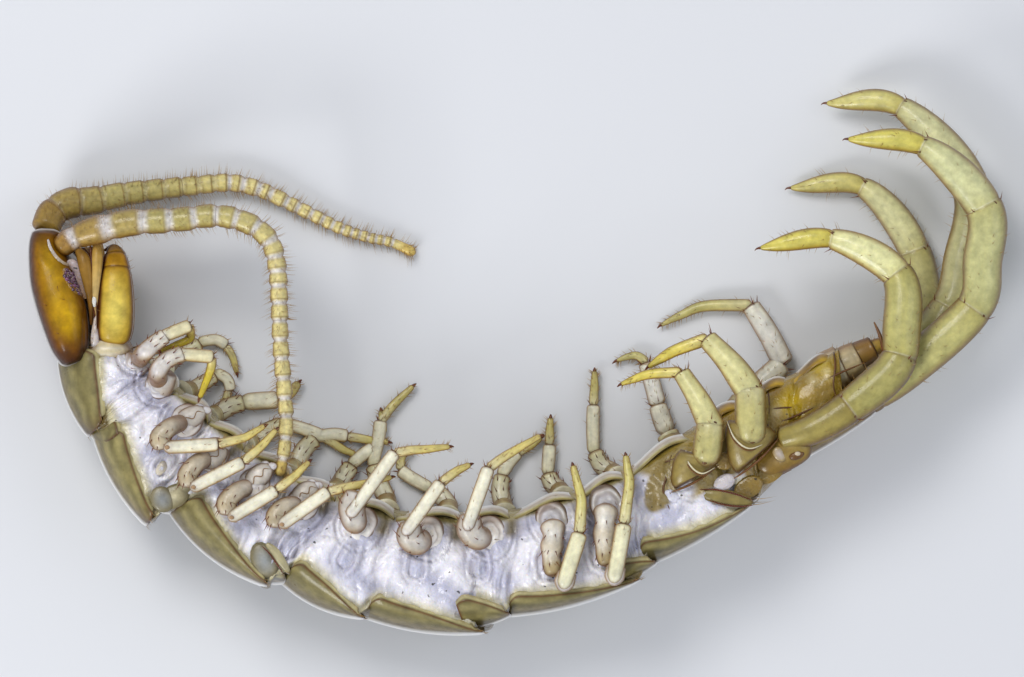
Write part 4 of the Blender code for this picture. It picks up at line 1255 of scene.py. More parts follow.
def folded_leg(heap, k, p, size):
    """Right legs 3 to 9: the prefemur turns back on itself, and the femur comes out of its mouth."""
    near = k not in TROCHANTERS
    coxa(heap, k, *p[0][:2], 1, 17, 19, paint(236, 230, 222) if near else paint(222, 215, 208))
    if not near:
        trochanter(heap, *TROCHANTERS[k])
    dark = CUP if near else HOOD
    tones = [PALE, mix(dark, MILK, 0.2), dark, dark, mix(dark, MILK, 0.3)]
    path = [p[0] - (0, 0, 6), p[1], p[2], (p[2] + p[3]) / 2 + (0, 0, 1), p[3]]
    radii = [10, 13, 13.5, 12, 9.5] if near else [9.0, 9.5, 10.5, 10.2, 8.4]
    pre = article(heap, path, radii, tones, rows=34, foot=0.95, lip=0.02, ends=(0.8, 0.6 if near else 0.9))
    return pre, *femur_and_tarsus(heap, p[4], 0, *p[5:], 1.0, CREAM, YELLOW, mix(dark, MILK, 0.35))


def hanging_leg(heap, k, p, size):
    """Right legs 10 and 11: a long ringed prefemur, a white collar, and a femur that leads back up."""
    coxa(heap, k, *p[0][:2], 1, 17, 20, paint(200, 194, 188), arched=True)
    tones = [paint(*c) for c in ((222, 220, 214), (212, 204, 188), (230, 226, 216), (206, 196, 176),
                                 (222, 214, 196), (176, 160, 124), (146, 130, 94))]
    radii = [11, 12.8, 10.4, 12.0, 9.2, 10.2, 8]
    pre = article(heap, p[:4], radii, tones, rows=44, foot=0.9, lip=0, line=LINE, ends=(0.8, 0.7))
    out = unit(p[5] - p[4])
    down = np.array([0, 0, 4.5])
    collar = [p[4] - out * 9 - down, p[4] + out * 2 - down, p[4] + out * 12 - down * 1.3]
    article(heap, collar, [10.2, 10.4, 9.4], [MILK, paint(226, 220, 206), CUP], rows=26, foot=0.9, lip=0.02,
            line=LINE, ends=(1.0, 0.2))
    shin, yellow = paint(234, 230, 192), paint(212, 202, 124)
    return pre, *femur_and_tarsus(heap, p[4], 0, *p[5:], 1.18, shin, yellow, paint(228, 222, 192))


print("kinds of walking leg: 4")

# %% [markdown]
# ## Twenty-two walking legs
#
# One function builds any of them from its eight places. It picks the kind, sets the leg on the flank, and
# puts knobs, hairs and spurs on its articles.

# %% The walking legs


def walking_leg(word, k):
    """Coxa, neck, prefemur, femur, tarsus and claw, along the eight places of the leg."""
    side = 1 if word == "right" else -1
    if side > 0:
        first, *places = RIGHT[k]
        first = COXAE[k] if k > 2 else first
    else:
        first, *places = LEFT[k]
        places = [(*place, z) for place, z in zip(places, FIRST_LOW.get(k, LOW))]
    p = [np.array(q, float) for q in ((*first, flank_z(*first, side) + side * 3.0), *places)]
    heap = Heap()
    size = 1.0 if k > 2 else 0.86
    make = far_leg if side < 0 else short_leg if k < 3 else folded_leg if k < 10 else hanging_leg
    pre, fem, tar = make(heap, k, p, size)
    if side > 0:
        way = unit(p[5] - p[4])
        if k in TROCHANTERS:
            bead(heap, p[4] - way * 1.5 + (0, 0, 5.6), (2.6, 2.1), paint(170, 136, 100))
        condyle(heap, p[5] - way * 0.6 + np.array([way[1], -way[0], 0]) * 3.2, 1.3, 4.6, rng.uniform(0, 3))
    for body, count in ((pre, 8), (fem, 14), (tar, 46)):
        hairs_on(heap, body, count, 6)
    for share, count in ((0.7, 8), (0.55, 8), (0.4, 6)):
        spurs_at(heap, pre, count, 8.5 * size, 0.7, int(len(pre[0]) * share))
    spurs_at(heap, fem, 4, 8 * size, 0.6)
    heap.piece(f"{word}_leg_{k:02d}", LEG_MATERIALS, [f"leg_{word}_{k:02d}"])


for word in ("right", "left"):
    for k in RIGHT:
        walking_leg(word, k)

# %% [markdown]
# ## Legs 12 and 13
#
# They are thicker. An olive coxa cup with an ivory rim stands slanting on the flank, the prefemur's round
# foot sits in it, and the femur leaves the prefemur at an angle, with a brown hinge knob at its outer corner.

# %% Legs 12 and 13
OLIVE_LEG, IVORY = paint(146, 128, 68), paint(238, 230, 200)
PREFEMUR, FEMUR, TARSUS = paint(192, 184, 122), paint(216, 210, 150), paint(212, 196, 92)
FAR_TARSUS, SNOW = paint(190, 182, 116), paint(226, 224, 214)
# Each right cup: its lower edge from a to b, its upper edge from c to d, both heights, depth and ivory rim
RIGHT_CUPS = {
    12: ((668, 493), (718, 465), (674, 447), (717, 459), 142, 151, 14,
         [(685, 449), (689, 464), (701, 473), (715, 467)]),
    13: ((731, 480), (779, 437), (721, 419), (768, 424), 141, 150, 16,
         [(726, 420), (734, 438), (748, 448), (765, 443)]),
}
LEFT_CUPS = {12: ([(676, 450, 36), (672, 442, 18), (668, 434, 14)], (12, 12, 11)),
             13: ([(732, 420, 40), (738, 411, 22), (745, 402, 18)], (14, 14, 13))}
# Each leg: the prefemur, the femur and the tarsus, as (points, radii)
STRONG = {
    ("right", 12): [([(703, 466, 157), (707, 446, 158), (710, 420, 157)], (10.5, 14.3, 14.6, 13.6)),
                    ([(714, 433, 157), (698, 400, 154), (680, 371, 149)], (13.4, 12.6, 10.4, 8.8)),
                    ([(683, 372, 148), (650, 374, 142), (634, 379, 139), (621, 384, 137)],
                     (5.8, 5.3, 4.7, 3.6, 2))],
    ("right", 13): [([(752, 446, 153), (750, 418, 155), (750, 384, 154)], (12, 15.4, 15.8, 14.8)),
                    ([(753, 397, 154), (731, 365, 151), (705, 337, 146)], (14.8, 14.2, 11.8, 9.8)),
                    ([(709, 338, 145), (676, 350, 141), (660, 359, 137), (648, 367, 134)],
                     (6.8, 6.3, 5.6, 4.2, 2.2))],
    ("left", 12): [([(669, 436, 14), (663, 420, 12), (658, 404, 11)], (9.5, 10, 9.8, 9)),
                   ([(659, 406, 11), (653, 384, 10), (646, 362, 10)], (9, 8.8, 8.4, 7.4)),
                   ([(648, 363, 9), (638, 356, 8), (628, 357, 7), (617, 361, 7)], (5, 4.6, 4, 3.2, 1.6))],
    ("left", 13): [([(743, 404, 18), (764, 383, 16), (785, 363, 14)], (12, 12.6, 12.4, 11.5)),
                   ([(786, 366, 14), (770, 334, 13), (751, 304, 12)], (11.6, 11.2, 10.8, 9.4)),
                   ([(754, 305, 12), (706, 306, 9), (682, 315, 8), (662, 325, 7)], (6.5, 6, 5, 3.8, 1.9))],
}


def strong_leg(word, k):
    """Four articles, each starting inside the rim of the one before, with hinge knobs, spines and setae."""
    heap = Heap()
    pre, fem, tar = STRONG[word, k]
    if word == "right":
        root, two, three, four = OLIVE_LEG, PREFEMUR, FEMUR, TARSUS
        wedge_cup(heap, *RIGHT_CUPS[k], root, LINE, mix(IVORY, OLIVE_LEG, 0.3))
    else:
        root, two, three, four = FAR, mix(FAR, SNOW, 0.7), SNOW, FAR_TARSUS
        article(heap, *LEFT_CUPS[k], root, rows=30, sides=30, flat=0.85, foot=0.95, lip=0.03, line=IVORY,
                ends=(0.8, 0.16))
    a = article(heap, *pre, [mix(two, OLIVE_LEG, 0.2), two, two, mix(two, IVORY, 0.3)], rows=36, sides=28,
                foot=0.9, lip=0.0, ends=(1.0, 0.4))
    b = article(heap, *fem, [mix(three, OLIVE_LEG, 0.25), three, three, mix(three, GOLD, 0.2)], rows=36,
                sides=26, foot=1.0, lip=0.02, ends=(0.5, 0.4), line=LINE)
    c = article(heap, *tar, [mix(four, IVORY, 0.3), four, four, mix(four, LINE, 0.25)], rows=40, foot=0.9,
                lip=0, ends=(0.6, 0.9))
    tip, way = c[0][-1], c[1][-1]
    claw = [tip - way * 2, tip + way * 1.5, tip + way * 4.5 + (0, 1.4, 0)]
    article(heap, claw, [1.9, 1.3, 0.35], CLAW, rows=10, sides=10)
    if word == "right":
        for (line, _, r, across, _), top in ((a, 11.5), (b, 7.5)):
            i = int(0.97 * (len(line) - 1)) - 2
            condyle(heap, line[i] - across[i] * r[i] * 0.45, 2.4, top, 0.3)
        condyle(heap, a[0][5] + a[1][5] * 1.5, 2.8, 10.5)
    for body, count, length in ((a, 34, 7), (b, 34, 7.5), (c, 60, 6.5)):
        hairs_on(heap, body, count, length, lean=0.7)
    for body in (a, b):
        spurs_at(heap, body, 4, 12, 0.8, -5)
    heap.piece(f"{word}_leg_{k}", LEG_MATERIALS, [f"leg_{word}_{k}"])


for word, k in STRONG:
    strong_leg(word, k)

# %% [markdown]
# ## Legs 14 and 15
#
# The last two pairs aren't walked on: they trail, here curled up and forwards. Their joints hardly show, so
# one tube with narrow waists does for each leg. The tarsus is a slender spindle with a thin bent claw.

# %% Legs 14 and 15
TRAILING = {
    ("right", 14): [(778, 440), (812, 429, 141), (848, 407, 140), (893, 368, 136), (901, 330, 132),
                    (896, 274, 126), (831, 239, 120), (760, 248, 114)],
    ("left", 14): [(787, 426), (815, 418, 21), (850, 404, 18), (893, 368, 17), (922, 330, 17),
                   (916, 250, 16), (864, 186, 13), (792, 187, 9)],
    ("right", 15): [(852, 404, 100), (876, 393, 100), (912, 366, 101), (974, 308, 104), (982.5, 262, 106),
                    (983, 206, 108), (922, 146, 106), (848, 139, 102)],
    ("left", 15): [(852, 404, 60), (872, 392, 60), (906, 360, 58), (950, 308, 54), (964, 262, 50),
                   (972, 186, 44), (902, 106, 34), (828, 102, 22)],
}
# For legs 14 and 15: the knots where articles end, then for each article its foot, middle and rim, and colour
CUTS = {14: [0, 2, 3.35, 5, 6, 7], 15: [0, 1, 3, 5, 6, 7]}
ARTICLES = {
    14: [(13, 15.5, 17.2), (17.2, 19.3, 18), (17.8, 19.4, 16.8), (15.8, 15.4, 10.4), (9.0, 9.8, 1.9)],
    15: [(15, 17, 17), (17, 20, 19), (18.8, 20, 19.5), (18.8, 18.0, 11.2), (9.8, 10.6, 2)],
}
TONES = {
    14: [(156, 142, 76), (170, 162, 96), (186, 180, 112), (228, 226, 168), (210, 198, 96)],
    15: [(160, 148, 84), (190, 184, 118), (194, 192, 134), (208, 208, 156), (208, 198, 100)],
}


def right_root_14(heap):
    """The thick brown root of right leg 14, with a pale oval on it and the knob of its hinge."""
    z = flank_z(776, 456)
    path = [(756, 474, z - 3), (774, 460, z - 2), (790, 450, 132), (808, 438, 136)]
    tones = [paint(124, 96, 36), paint(138, 112, 48), paint(152, 132, 68)]
    article(heap, path, [11, 16, 17.5, 16], tones, rows=30, sides=26, flat=0.7, lip=0.0, ends=(1.2, 0.8))
    pale = mix(paint(194, 182, 172), paint(158, 136, 86), smooth(DOME, 0.1, 0.9))
    bead(heap, (779, 454, z + 11.5), (9, 6.5), pale, 0.35, 0.9)
    bead(heap, (796, 455, 143), (8, 4.5), paint(110, 76, 36), 0.6, -0.3)
    bead(heap, (797, 453.5, 144.5), (3.4, 2.6), paint(206, 190, 160), 0.7)


def trailing_leg(word, k):
    """One limb of five articles, with hinge knobs on its outer side, setae, spines and the claw."""
    heap = Heap()
    side = 1 if word == "right" else -1
    first, *knots = TRAILING[word, k]
    if k == 14:
        first = (*first, flank_z(*first, side) + side * 2)
    if (word, k) == ("right", 14):
        right_root_14(heap)
    tones = [mix(paint(*c), FAR, 0 if side > 0 else 0.4) for c in TONES[k]]
    body, at, edges = limb(heap, [first, *knots], CUTS[k], ARTICLES[k], tones, LINE)
    line, way, r, across, _ = body
    tip, ahead = line[-1], way[-1]
    bent = [tip + ahead * 4 + (0, 0.6, 0), tip + ahead * 5.5 + (0, 2.2, 0)]
    article(heap, [tip - ahead * 3, tip + ahead * 1.5, *bent], [1.9, 1.2, 0.7, 0.25], CLAW, rows=14, sides=10)
    for e in edges[1:-1]:
        i = int(np.searchsorted(at, e)) - 2
        condyle(heap, line[i] - across[i] * r[i] * 0.6, 2.6, r[i] * 0.78, 0.5)
        spurs_at(heap, body, 3, 10, 0.8, i - 1)
    hairs_on(heap, body, 110, 9, 0.34, lean=0.5, part=(0.12, 0.98))
    heap.piece(f"{word}_leg_{k}", LEG_MATERIALS, [f"leg_{word}_{k}"])


for word, k in TRAILING:
    trailing_leg(word, k)

# %% [markdown]
# ## The tail end
#
# Behind the last legs' roots sit the genital plates and the telson, overlapping, on the belly side: a pale
# soft segment, an amber one and a dark brown tip. They are short cups, one out of the other.

# %% The tail end
ASH, AMBER_RING, BROWN_TIP = paint(222, 216, 192), paint(178, 146, 66), paint(150, 116, 60)
TAIL_CUPS = [
    ([(822, 377, 80), (836, 369, 80), (846, 364, 80)], (23, 22, 19), ASH),
    ([(838, 368, 80), (852, 361, 80), (862, 356, 80)], (19, 18, 15.5), mix(ASH, AMBER_RING, 0.5)),
    ([(854, 358, 80), (866, 352, 80), (876, 347, 80)], (15, 13.5, 11.5), BROWN_TIP),
    ([(870, 350, 80), (880, 345, 80), (888, 340, 80)], (9, 7.5, 3.5), AMBER_RING),
]
tail = Heap()
for path, radii, tone in TAIL_CUPS:
    body = article(tail, path, radii, [mix(tone, AMBER_RING, 0.3), tone, mix(tone, LINE, 0.3)], rows=24,
                   sides=34, flat=1.3, foot=0.97, line=LINE)
    hairs_on(tail, body, 22, 7, 0.38)
thorn = [(874, 322, 106), (880, 336, 110), (884, 352, 112)]
article(tail, thorn, [0.8, 1.6, 1.9, 1.2], LINE, rows=20, sides=10)
tail.piece("tail_end", [limb_horn, seta_pale], ["terminal_segment"])

# %% [markdown]
# ## The shape of the head
#
# The head is a flat shield of clear amber horn, seen from its side. Its section is a rounded box,
# |cos a|^0.75 and |sin a|^0.6, swept from the antennae to the rear rim. A dent takes the root of the antenna,
# and a fine groove runs along the cheek.

# %% The head as a grid
H_BACK = [(32, 228), (27.8, 242), (27.2, 262), (29, 285), (34.5, 308), (42, 331), (51, 353), (64, 370)]
H_BELLY = [(60, 229), (64, 247), (71, 262), (80, 284), (87.5, 304), (90.5, 328), (89.5, 348), (84, 363)]
H_HALF = [40, 52, 61, 66, 69, 69, 65, 52]
H_MID = 68.0
SOCKET = (62, 247)  # the middle of the dent for the antenna


def head_grid(t, a):
    """t runs from the front, 0, to the rear, 7; a is the angle round the section, 0 at the back."""
    back, belly = spline(H_BACK, t), spline(H_BELLY, t)
    share = closed(t / 0.4, 0.8, 2.6) * closed((7 - t) / 0.35, 0.85)
    across, side = power(np.cos(a), 0.75), power(np.sin(a), 0.6)
    half = (back - belly) / 2 * share[:, None]
    xy = ((back + belly) / 2)[:, None] + half[:, None] * across[None, :, None]
    x, y = xy[..., 0], xy[..., 1]
    dent = np.exp(-(((x - SOCKET[0]) / 13) ** 2) - ((y - SOCKET[1]) / 12) ** 2) * 14
    groove = bell(x + (y - 330) * 0.02, 84, 1.3**2) * smooth(y, 300, 312) * 1.6
    wide = (spline(H_HALF, t)[..., 0] * share)[:, None]
    return np.dstack([xy, H_MID + side[None] * np.maximum(wide - dent - groove, 4)])


HEAD_FINE = head_grid(np.linspace(0, 7, 301), np.linspace(0, 2 * np.pi, 361)).reshape(-1, 3)


def head_height(x, y, side):
    """Height of the head's side over points of the picture, from the nearest point of a fine grid."""
    p = HEAD_FINE[(HEAD_FINE[:, 2] - H_MID) * side > 8]
    x, y = np.atleast_1d(x)[:, None], np.atleast_1d(y)[:, None]
    return p[np.argmin((p[None, :, 0] - x) ** 2 + (p[None, :, 1] - y) ** 2, 1), 2]


print("points of the head's fine grid:", len(HEAD_FINE))

# %% [markdown]
# ## The head's colours
#
# The colour runs from gold in the middle, where the light comes through, to dark brown at the margins, and
# the rear rim is nearly black. c is 1 at the back and -1 at the belly, and T runs from front to rear. So
# every coat is a formula of c and T.

# %% The head shield
t = np.concatenate([np.linspace(0, 0.6, 14), np.linspace(0.7, 6.6, 74), np.linspace(6.66, 7, 14)])
a = angles(128)
grid = head_grid(t, a)
T, A = np.meshgrid(t, a, indexing="ij")
x, y = grid[..., 0], grid[..., 1]
gold, amber, rust, dark = paint(190, 150, 12), paint(142, 98, 8), paint(88, 46, 6), paint(46, 20, 4)
c = power(np.cos(A), 0.75)
# painted glow: clear paints the middle gold, as light coming through the horn
clear = bell(T, 2.2, 1.6) * 0.8 + bell(T, 4.5, 1.3)
cloud = 0.5 + 0.5 * np.sin(x * 0.33 + 2 * np.sin(y * 0.11)) * np.sin(y * 0.19 + 1)
tone = layers(
    mix(amber, gold, np.clip(clear * bell(c, -0.1, 0.28) * (0.65 + 0.5 * cloud), 0, 1)),
    (rust, smooth(c, 0.3, 0.9) * 0.95),
    (dark, smooth(c, 0.7, 0.97) * 0.45),
    (rust, smooth(1.5 - T, 0, 1.5) * 0.75),
    ((128, 84, 20), smooth(-c, 0.5, 0.9) * 0.6),
    (dark, smooth(-c, 0.93, 0.99) * 0.7),
    (rust, smooth(T + 0.35 * (cloud - 0.5), 4.9, 5.9) * 0.8),
    (dark, smooth(T, 6.2, 6.65) * 0.9),
    ((66, 34, 10), smooth(T + 0.35 * c**2 + 0.2 * (cloud - 0.5), 5.95, 6.2) * 0.55),
    (rust, smooth(T, 4.4, 5.4) * smooth(c, -0.1, 0.5) * (0.3 + 0.5 * cloud) * 0.7))
mottled = np.sin(x * 0.9 + 1.7 * np.sin(y * 0.43)) * np.sin(y * 0.75 + 1.3 * np.sin(x * 0.5))
head = Heap()
head.tube(grid, tone * (1 + 0.07 * mottled)[..., None])
for side in (1, -1):  # the white rim of the antenna's socket
    s = np.linspace(0, 5, 40)
    line = spline([(48, 239.5), (49.5, 247), (54, 255), (61, 262), (68, 265), (75, 265)], s)
    z = head_height(line[:, 0], line[:, 1], side)
    r = (3.3 - 0.3 * s) * np.sqrt(np.clip(np.sin(np.pi * (s + 0.15) / 5.3), 0.02, 1))
    pale = mix(paint(206, 196, 186), paint(158, 124, 64), s / 5 * 0.85)
    sweep(head, np.column_stack([line, z]), r, pale, 1, 12, 0.4)
for side in (1, -1):  # a few short bristles
    x = np.array([38, 52, 66, 74, 60, 48, 80, 70, 84, 58.0])
    y = np.array([262, 276, 300, 318, 334, 306, 342, 352, 312, 286.0])
    way = np.column_stack([rng.normal(-0.5, 0.5, (10, 2)), np.full(10, side * 0.5)])
    roots = np.column_stack([x, y, head_height(x, y, side) - side * 0.3])
    head.bristles(roots, way, rng.uniform(4, 8, 10), 0.3, 2)
head.piece("head_shield", [horn, membrane, seta_dark], ["head"])

# %% [markdown]
# ## Ocelli
#
# A stone centipede's eye is a small field of single lenses. Here some two dozen dark plum domes stand in
# slanting rows on a pale patch at the side of the head. Each dome is a squashed half sphere.

# %% Ocelli
EYE = np.array([73.3, 282])  # the middle of the field
EYE_WAY, EYE_ACROSS = unit(np.array([15.5, 23.5])), unit(np.array([23.5, -15.5]))
for side, word in ((1, "right"), (-1, "left")):
    eye = Heap()
    a = angles(32)
    rings = []
    for share, lift in ((1.0, -4.0), (1.02, 0.2), (0.85, 0.8), (0.45, 1.1)):
        xy = EYE + np.outer(np.cos(a) * 16 * share, EYE_WAY) + np.outer(np.sin(a) * 5.6 * share, EYE_ACROSS)
        rings.append(np.column_stack([xy, head_height(xy[:, 0], xy[:, 1], side) + side * lift]))
    patch = mix(paint(160, 118, 40), paint(198, 180, 180), smooth(np.sin(a), -0.5, 0.6))
    eye.tube(np.array(rings), np.ones((4, 1, 1)) * patch)
    lat, b = (np.linspace(0.02, 1, 7) * np.pi / 2)[:-1, None], angles(12)
    for row in range(4):
        for i in range(8):
            u = (i - 3.4 + 0.5 * (row % 2)) * 4.0 + rng.uniform(-0.7, 0.7)
            v = (row - 1.5) * 2.5 + rng.uniform(-0.4, 0.4)
            if (u / 14) ** 2 + (v / 5) ** 2 > 1:
                continue
            x, y = EYE + u * EYE_WAY + v * EYE_ACROSS
            z = float(head_height(x, y, side)[0]) + side * 0.6
            r = rng.uniform(1.8, 2.5)
            up = z + side * r * (np.sin(lat) * 0.95 - 0.2) + 0 * b
            dome = np.stack([x + r * np.cos(lat) * np.cos(b), y + r * np.cos(lat) * np.sin(b), up], -1)
            eye.tube(dome, mix(paint(112, 60, 98), paint(62, 34, 54), rng.uniform()), 1)
    eye.piece(f"ocelli_field_{word}", [membrane, eye_glass], [f"ocelli_{word}"])

# %% [markdown]
# ## Forcipules
#
# The forcipule is the centipede's venom claw: a leg of the first segment turned into a fat golden hook under
# the head. It is a tube with a rounded box for a section. Two dark rings near its tip are its last joints,
# and its inner edge is a dark brown line.

# %% Forcipules
MOUTH_MID = 72  # the height of the middle between the right and the left mouthparts
F_PATH = [(113, 345, 30), (114.5, 328, 31), (115.5, 306, 31), (115.5, 284, 30), (115.5, 266, 26),
          (114.5, 254, 19), (111, 249, 12), (104, 250, 7)]
F_SIZE = [14.5, 18.4, 18.2, 16.6, 13.2, 9, 4.5, 1.2]
F_EDGE = [(107, 252, 24), (101.5, 266, 34), (98.8, 285, 38), (97.4, 310, 39), (97.8, 336, 36)]


def on_side(knots, side):
    """Knots whose third number counts outwards from the middle, placed on the right (1) or the left (-1)."""
    return [(x, y, MOUTH_MID + side * z) for x, y, z in knots]


for side, word in ((1, "right"), (-1, "left")):
    s = np.concatenate([np.linspace(0, 0.3, 8), np.linspace(0.4, 6.5, 90), np.linspace(6.55, 7, 8)])
    line = spline(on_side(F_PATH, side), s)
    r = spline(F_SIZE, s)[:, 0] * closed(s / 0.45, 0.85)
    for ring in (3.72, 4.6):
        r = r - 0.6 * bell(s, ring, 0.003)
    way, across, up = frames(line)
    a = angles(48)
    rings = rings_round(line, r, across, up, power(np.cos(a), 0.85), 1.12 * power(np.sin(a), 0.75))
    x = (rings[..., 0] - line[:, None, 0]) / r[:, None]
    S = s[:, None] * np.ones(48)
    tone = layers(
        # painted highlight: paler yellow down the middle of the face that is seen
        paint(186, 148, 34), ((220, 200, 96), bell(S, 1.7, 1.8) * bell(x, 0, 0.5)),
        ((168, 118, 20), smooth(S, 3.2, 4.0) * 0.75), ((128, 74, 18), smooth(np.abs(x), 0.72, 1.0) * 0.7),
        ((84, 34, 12), smooth(-x, 0.66, 0.86) * 0.95), ((72, 34, 8), bell(S, 3.74, 0.002) * 0.95),
        ((72, 34, 8), bell(S, 4.62, 0.002) * 0.95), ((96, 42, 12), smooth(S, 5.0, 6.0) * 0.8))
    claw = Heap()
    claw.tube(rings, tone)
    sweep(claw, along(on_side(F_EDGE, side), 50), 2.5 * spindle(50), paint(92, 42, 14), 0, 12, 0.9)
    hairs_on(claw, (line, way, r, across, up), 30, 8, 0.38, lean=0.4, part=(0.1, 0.8))
    claw.piece(f"forcipule_{word}_claw", [horn, seta_pale], [f"forcipule_{word}"])

# %% [markdown]
# ## Mouthparts
#
# Between forcipule and shield lie the cheek's pale membrane, the mandible's amber base, a brown seam and the
# cream palp of a maxilla. They are long strips side by side, so each is an article on a path of its own, on a
# dark core that closes the gaps.

# %% Mouthparts
M_FRONT = [(69, 248), (78, 262), (90, 284), (94, 305), (95.5, 325), (95, 342)]
M_BACK = [(101, 247), (102, 262), (101, 284), (99.5, 305), (99, 325), (98.5, 342)]
M_HALF = [22, 34, 40, 44, 44, 36]
# Each strip: knots (x, y, height from the middle), radii, colours, and 1 where it is soft
STRIPS = [
    ([(67, 262, 40), (73, 264, 40), (78, 271, 40), (82, 283, 40), (86, 299, 38)], (2, 5, 5, 4.4, 2),
     [(190, 176, 172), (178, 158, 154), (150, 118, 84)], 1),
    ([(77, 249, 38), (83, 258, 41), (86, 271, 43), (88.5, 287, 43), (90.5, 304, 40), (91.5, 325, 36)],
     (3, 6.5, 6.2, 4.6, 2.4, 1.4), [(132, 96, 36), (150, 112, 44), (104, 64, 20)], 0),
    ([(90.5, 246, 38), (91.8, 262, 42), (92.8, 280, 43), (94, 300, 42), (95, 326, 38)],
     (1.2, 1.3, 1.3, 1.2, 1.0), [(84, 40, 14)], 0),
    ([(97, 240, 34), (97.5, 254, 39), (97, 270, 42), (96, 288, 43), (95.5, 304, 41), (95.5, 326, 36)],
     (3, 5.8, 5.2, 3.8, 2.6, 1.8), [(158, 122, 54), (178, 144, 72), (196, 168, 108), (170, 136, 74)], 0),
    ([(95, 296, 43), (94.5, 301, 43), (95, 307, 42)], (1.6, 2.4, 1.4), [(236, 230, 214)], 1),
    ([(96, 312, 38), (95.5, 324, 40), (95, 336, 40), (95.5, 347, 36)], (1.2, 2.6, 4.2, 4.6),
     [(190, 168, 150), (212, 204, 202)], 1),
]


def box_between(front, back, half, c, s):
    """Rings between two lines of the picture: c from one line to the other, s times half upwards."""
    xy = ((front + back) / 2)[:, None] + c[None, :, None] * ((back - front) / 2)[:, None]
    return np.dstack([xy, MOUTH_MID + s[None] * half[:, None]])


mouth = Heap()
a = angles(48)
core = box_between(along(M_FRONT, 48), along(M_BACK, 48), along(M_HALF, 48)[:, 0], np.cos(a), np.sin(a))
mouth.tube(core, paint(104, 60, 22))
for side in (1, -1):
    for knots, radii, tones, mat in STRIPS:
        body = article(mouth, on_side(knots, side), radii, [paint(*c) for c in tones], mat, rows=40, foot=0.7,
                       lip=0, flat=0.7)
    hairs_on(mouth, body, 26, 6, 0.34, 2, lean=-0.6)
mouth.piece("mouth_parts", [horn, membrane, seta_pale], ["mouthparts"])

# %% [markdown]
# ## The forcipules' segment
#
# Behind the head a short pale collar carries the forcipules. It is the mouth's formula again, with a squarer
# section, a little brown on its inner side, and soft cross bands.

# %% The forcipules' segment
s = np.linspace(0, 2, 24)
a = angles(64)
across, side = power(np.cos(a), 0.8), power(np.sin(a), 0.6)
front, back = spline([(91, 340), (84, 350), (66, 360)], s), spline([(130, 342), (133, 350), (132, 357)], s)
bands = np.abs(np.sin(s * 4))[:, None] * np.ones(64) * 0.5
tone = layers(paint(222, 214, 190), ((204, 186, 130), bands),
              ((150, 116, 50), smooth(across, 0.75, 1.0)[None] * np.ones((24, 1)) * 0.6))
collar = Heap()
collar.tube(box_between(front, back, spline([42, 46, 42], s)[:, 0], across, side), tone)
collar.piece("forcipule_base", [limb_horn], ["forcipular_segment"])

# %% [markdown]
# ## Antennae
#
# Some two dozen articles, khaki barrels with white membrane between them, hardly narrower than they are. The
# first ones are fat and long, and the rest get slimmer towards the tip. Fine setae stand out on every one.
# The frame has each antenna in three lengths, so the tube is cut there, just behind a neck.

# %% One antenna
A_KHAKI, A_YELLOW = paint(182, 170, 104), paint(222, 208, 142)
A_WHITE, A_BROWN = paint(216, 213, 216), paint(124, 92, 38)


def antenna(word, knots, radii, shares, halves, cuts, base, light, white, dark):
    """Article i is a barrel: r (1 - 0.05 (2x - 1)^2). Between two is a neck, `halves` long to each side."""
    dense, run = measured(knots)
    total = run[-1]
    edges = np.concatenate([[0], np.cumsum(shares)]) / np.sum(shares) * total
    for part, (first, last) in enumerate(zip([0, *cuts], [*cuts, len(shares)]), 1):
        start, end = edges[first] - (2 if first else 0), edges[last]
        at = np.linspace(start, end, int((end - start) / 0.8))
        i = np.clip(np.searchsorted(edges, at, side="right") - 1, 0, len(shares) - 1)
        x = (at - edges[i]) / (edges[i + 1] - edges[i])
        share = i / len(shares)
        near = np.argmin(np.abs(at[:, None] - edges[None, 1:-1]), 1)  # the nearest neck
        d = np.abs(at - edges[1:-1][near])
        half = np.interp(near, np.arange(len(halves)), halves)
        neck = np.exp(-((d / half) ** 3))
        tone = layers(base, (A_KHAKI, np.clip(i / 3.0, 0, 1)), (A_YELLOW, smooth(share, 0.15, 0.5)),
                      ((214, 182, 84), smooth(at, total - 22, total - 12) * 0.7)) * light
        ring = bell(d, half + 1.2, 0.8**2) * np.where(at < edges[1:-1][near], 1, 0.4)
        tone = layers(tone, (A_WHITE, neck * white(near)), (A_BROWN, ring * dark(near)))
        r = np.interp(at / total, np.linspace(0, 1, len(radii)), radii)
        r = r * (1 - 0.05 * (2 * x - 1) ** 2 + (0.04 + 0.09 * share) * smooth(x, 0.4, 0.85))
        r = r * (1 - (0.06 + 0.14 * share) * neck) * closed((total - at) / 7, 0.95) * closed(at / 5, 0.7)
        if first:  # its end lies inside the length before it
            r = r * np.where(at < start + 2, 0.93, 1)
        heap = Heap()
        body = sweep(heap, at_run(dense, run, at), r, tone, 0, 24, 1.0)
        count, hair = int(2.3 * (end - start)), 11 if part > 1 else 9.5
        hairs_on(heap, body, count, hair, 0.26, lean=0.3, part=(0.03, 0.99))
        if last == len(shares):
            hairs_on(heap, body, 30, 6, 0.3, lean=1.2, part=(0.93, 0.99))
        name, node = f"antenna_{word}_length_{part}", f"antenna_{word}_{part}"
        heap.piece(name, [feeler_horn, seta_pale], [node])


print("colours of an antenna: 4")

# %% [markdown]
# ## The two antennae
#
# The right one is nearer, and its necks are long and white. The left one lies lower, and its first necks are
# short and brown. Each has its own lengths of articles, counted from the head.

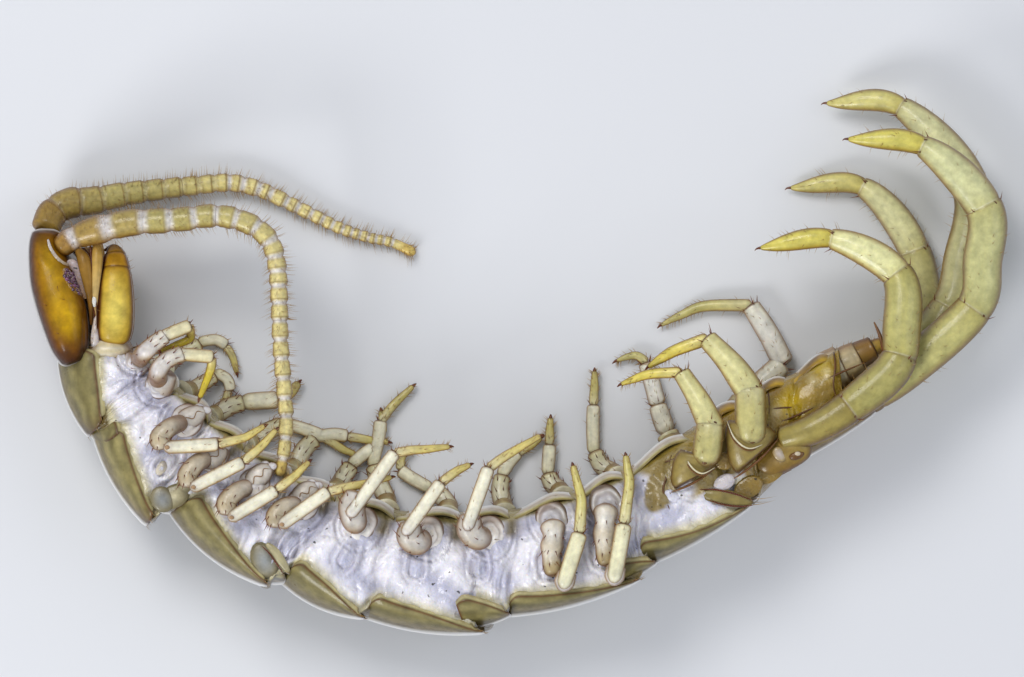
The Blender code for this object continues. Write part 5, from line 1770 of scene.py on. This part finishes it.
# %% The two antennae
RIGHT_PATH = [(58, 250, 104), (72, 239, 106), (94, 231, 112), (129, 223, 118), (159, 221, 120),
              (185, 219, 121), (210, 216, 122), (232, 218, 123), (255, 227, 124), (271, 243, 125),
              (277.5, 268, 126), (279.5, 300, 128), (281, 345, 130), (285, 395, 132), (286.5, 420, 133),
              (284.5, 450, 134), (279.5, 476, 135)]
RIGHT_LENGTHS = [21, 37, 36, 26.5, 25, 22.5, 20, 22, 20, 16, 15, 15, 17, 18, 19, 19, 20, 20, 18, 22, 21, 18]
antenna("right", RIGHT_PATH, [11, 14.5, 13, 12, 11, 9.8, 8.8, 8.1, 7.8, 7.1, 5.4], RIGHT_LENGTHS,
        [5.4, 6.8, 5, 4.2, 3.8, 3.2, 3, 3, 3, 2.8, 2.6], (6, 14), paint(166, 128, 58), 0.95,
        lambda j: 0.78, lambda j: 0.3 + 0.3 * smooth(j, 6, 12))
LEFT_PATH = [(43, 231, 54), (51, 213, 44), (67, 203, 38), (91, 200, 32), (120, 194, 27), (155, 189, 23),
             (191, 185, 19), (229, 182, 16), (259, 189, 14), (287, 202, 12), (313, 215, 11), (340, 228, 10),
             (368, 237, 9), (391, 242, 8), (415, 253, 7)]
LEFT_LENGTHS = [28, 26, 24, 24, 20, 20, 18, 17, 16, 15, 14, 16.5, 13, 18, 13, 15, 13, 11.5, 11, 10, 8.5,
                9, 8, 8, 9, 26]
antenna("left", LEFT_PATH, [15, 15.5, 12.5, 10.6, 9.4, 8.6, 7.2, 6.2, 5.4, 4.8], LEFT_LENGTHS,
        [2.2] * 9 + [2.2, 3.2, 3.2, 2.9, 2.7, 2.5, 2.2, 2, 1.8, 1.6], (7, 14), paint(150, 122, 56), 1.1,
        lambda j: np.where(j < 9, 0.12, 0.85), lambda j: np.where(j < 9, 0.75, 0.8))

# %% [markdown]
# ## Check the size and finish
#
# The dressed model stands out of the CAD model's box only by skins and hairs, less than a tenth of a
# millimetre.

# %% Size and finish
sizes = {"cad": [list(map(float, v)) for v in cad_box], "visual": [list(map(float, v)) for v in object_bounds()]}
beyond = (np.array(sizes["visual"]) - np.array(sizes["cad"])) / U
print("visual box against CAD box, in units:", *np.round(beyond, 1))
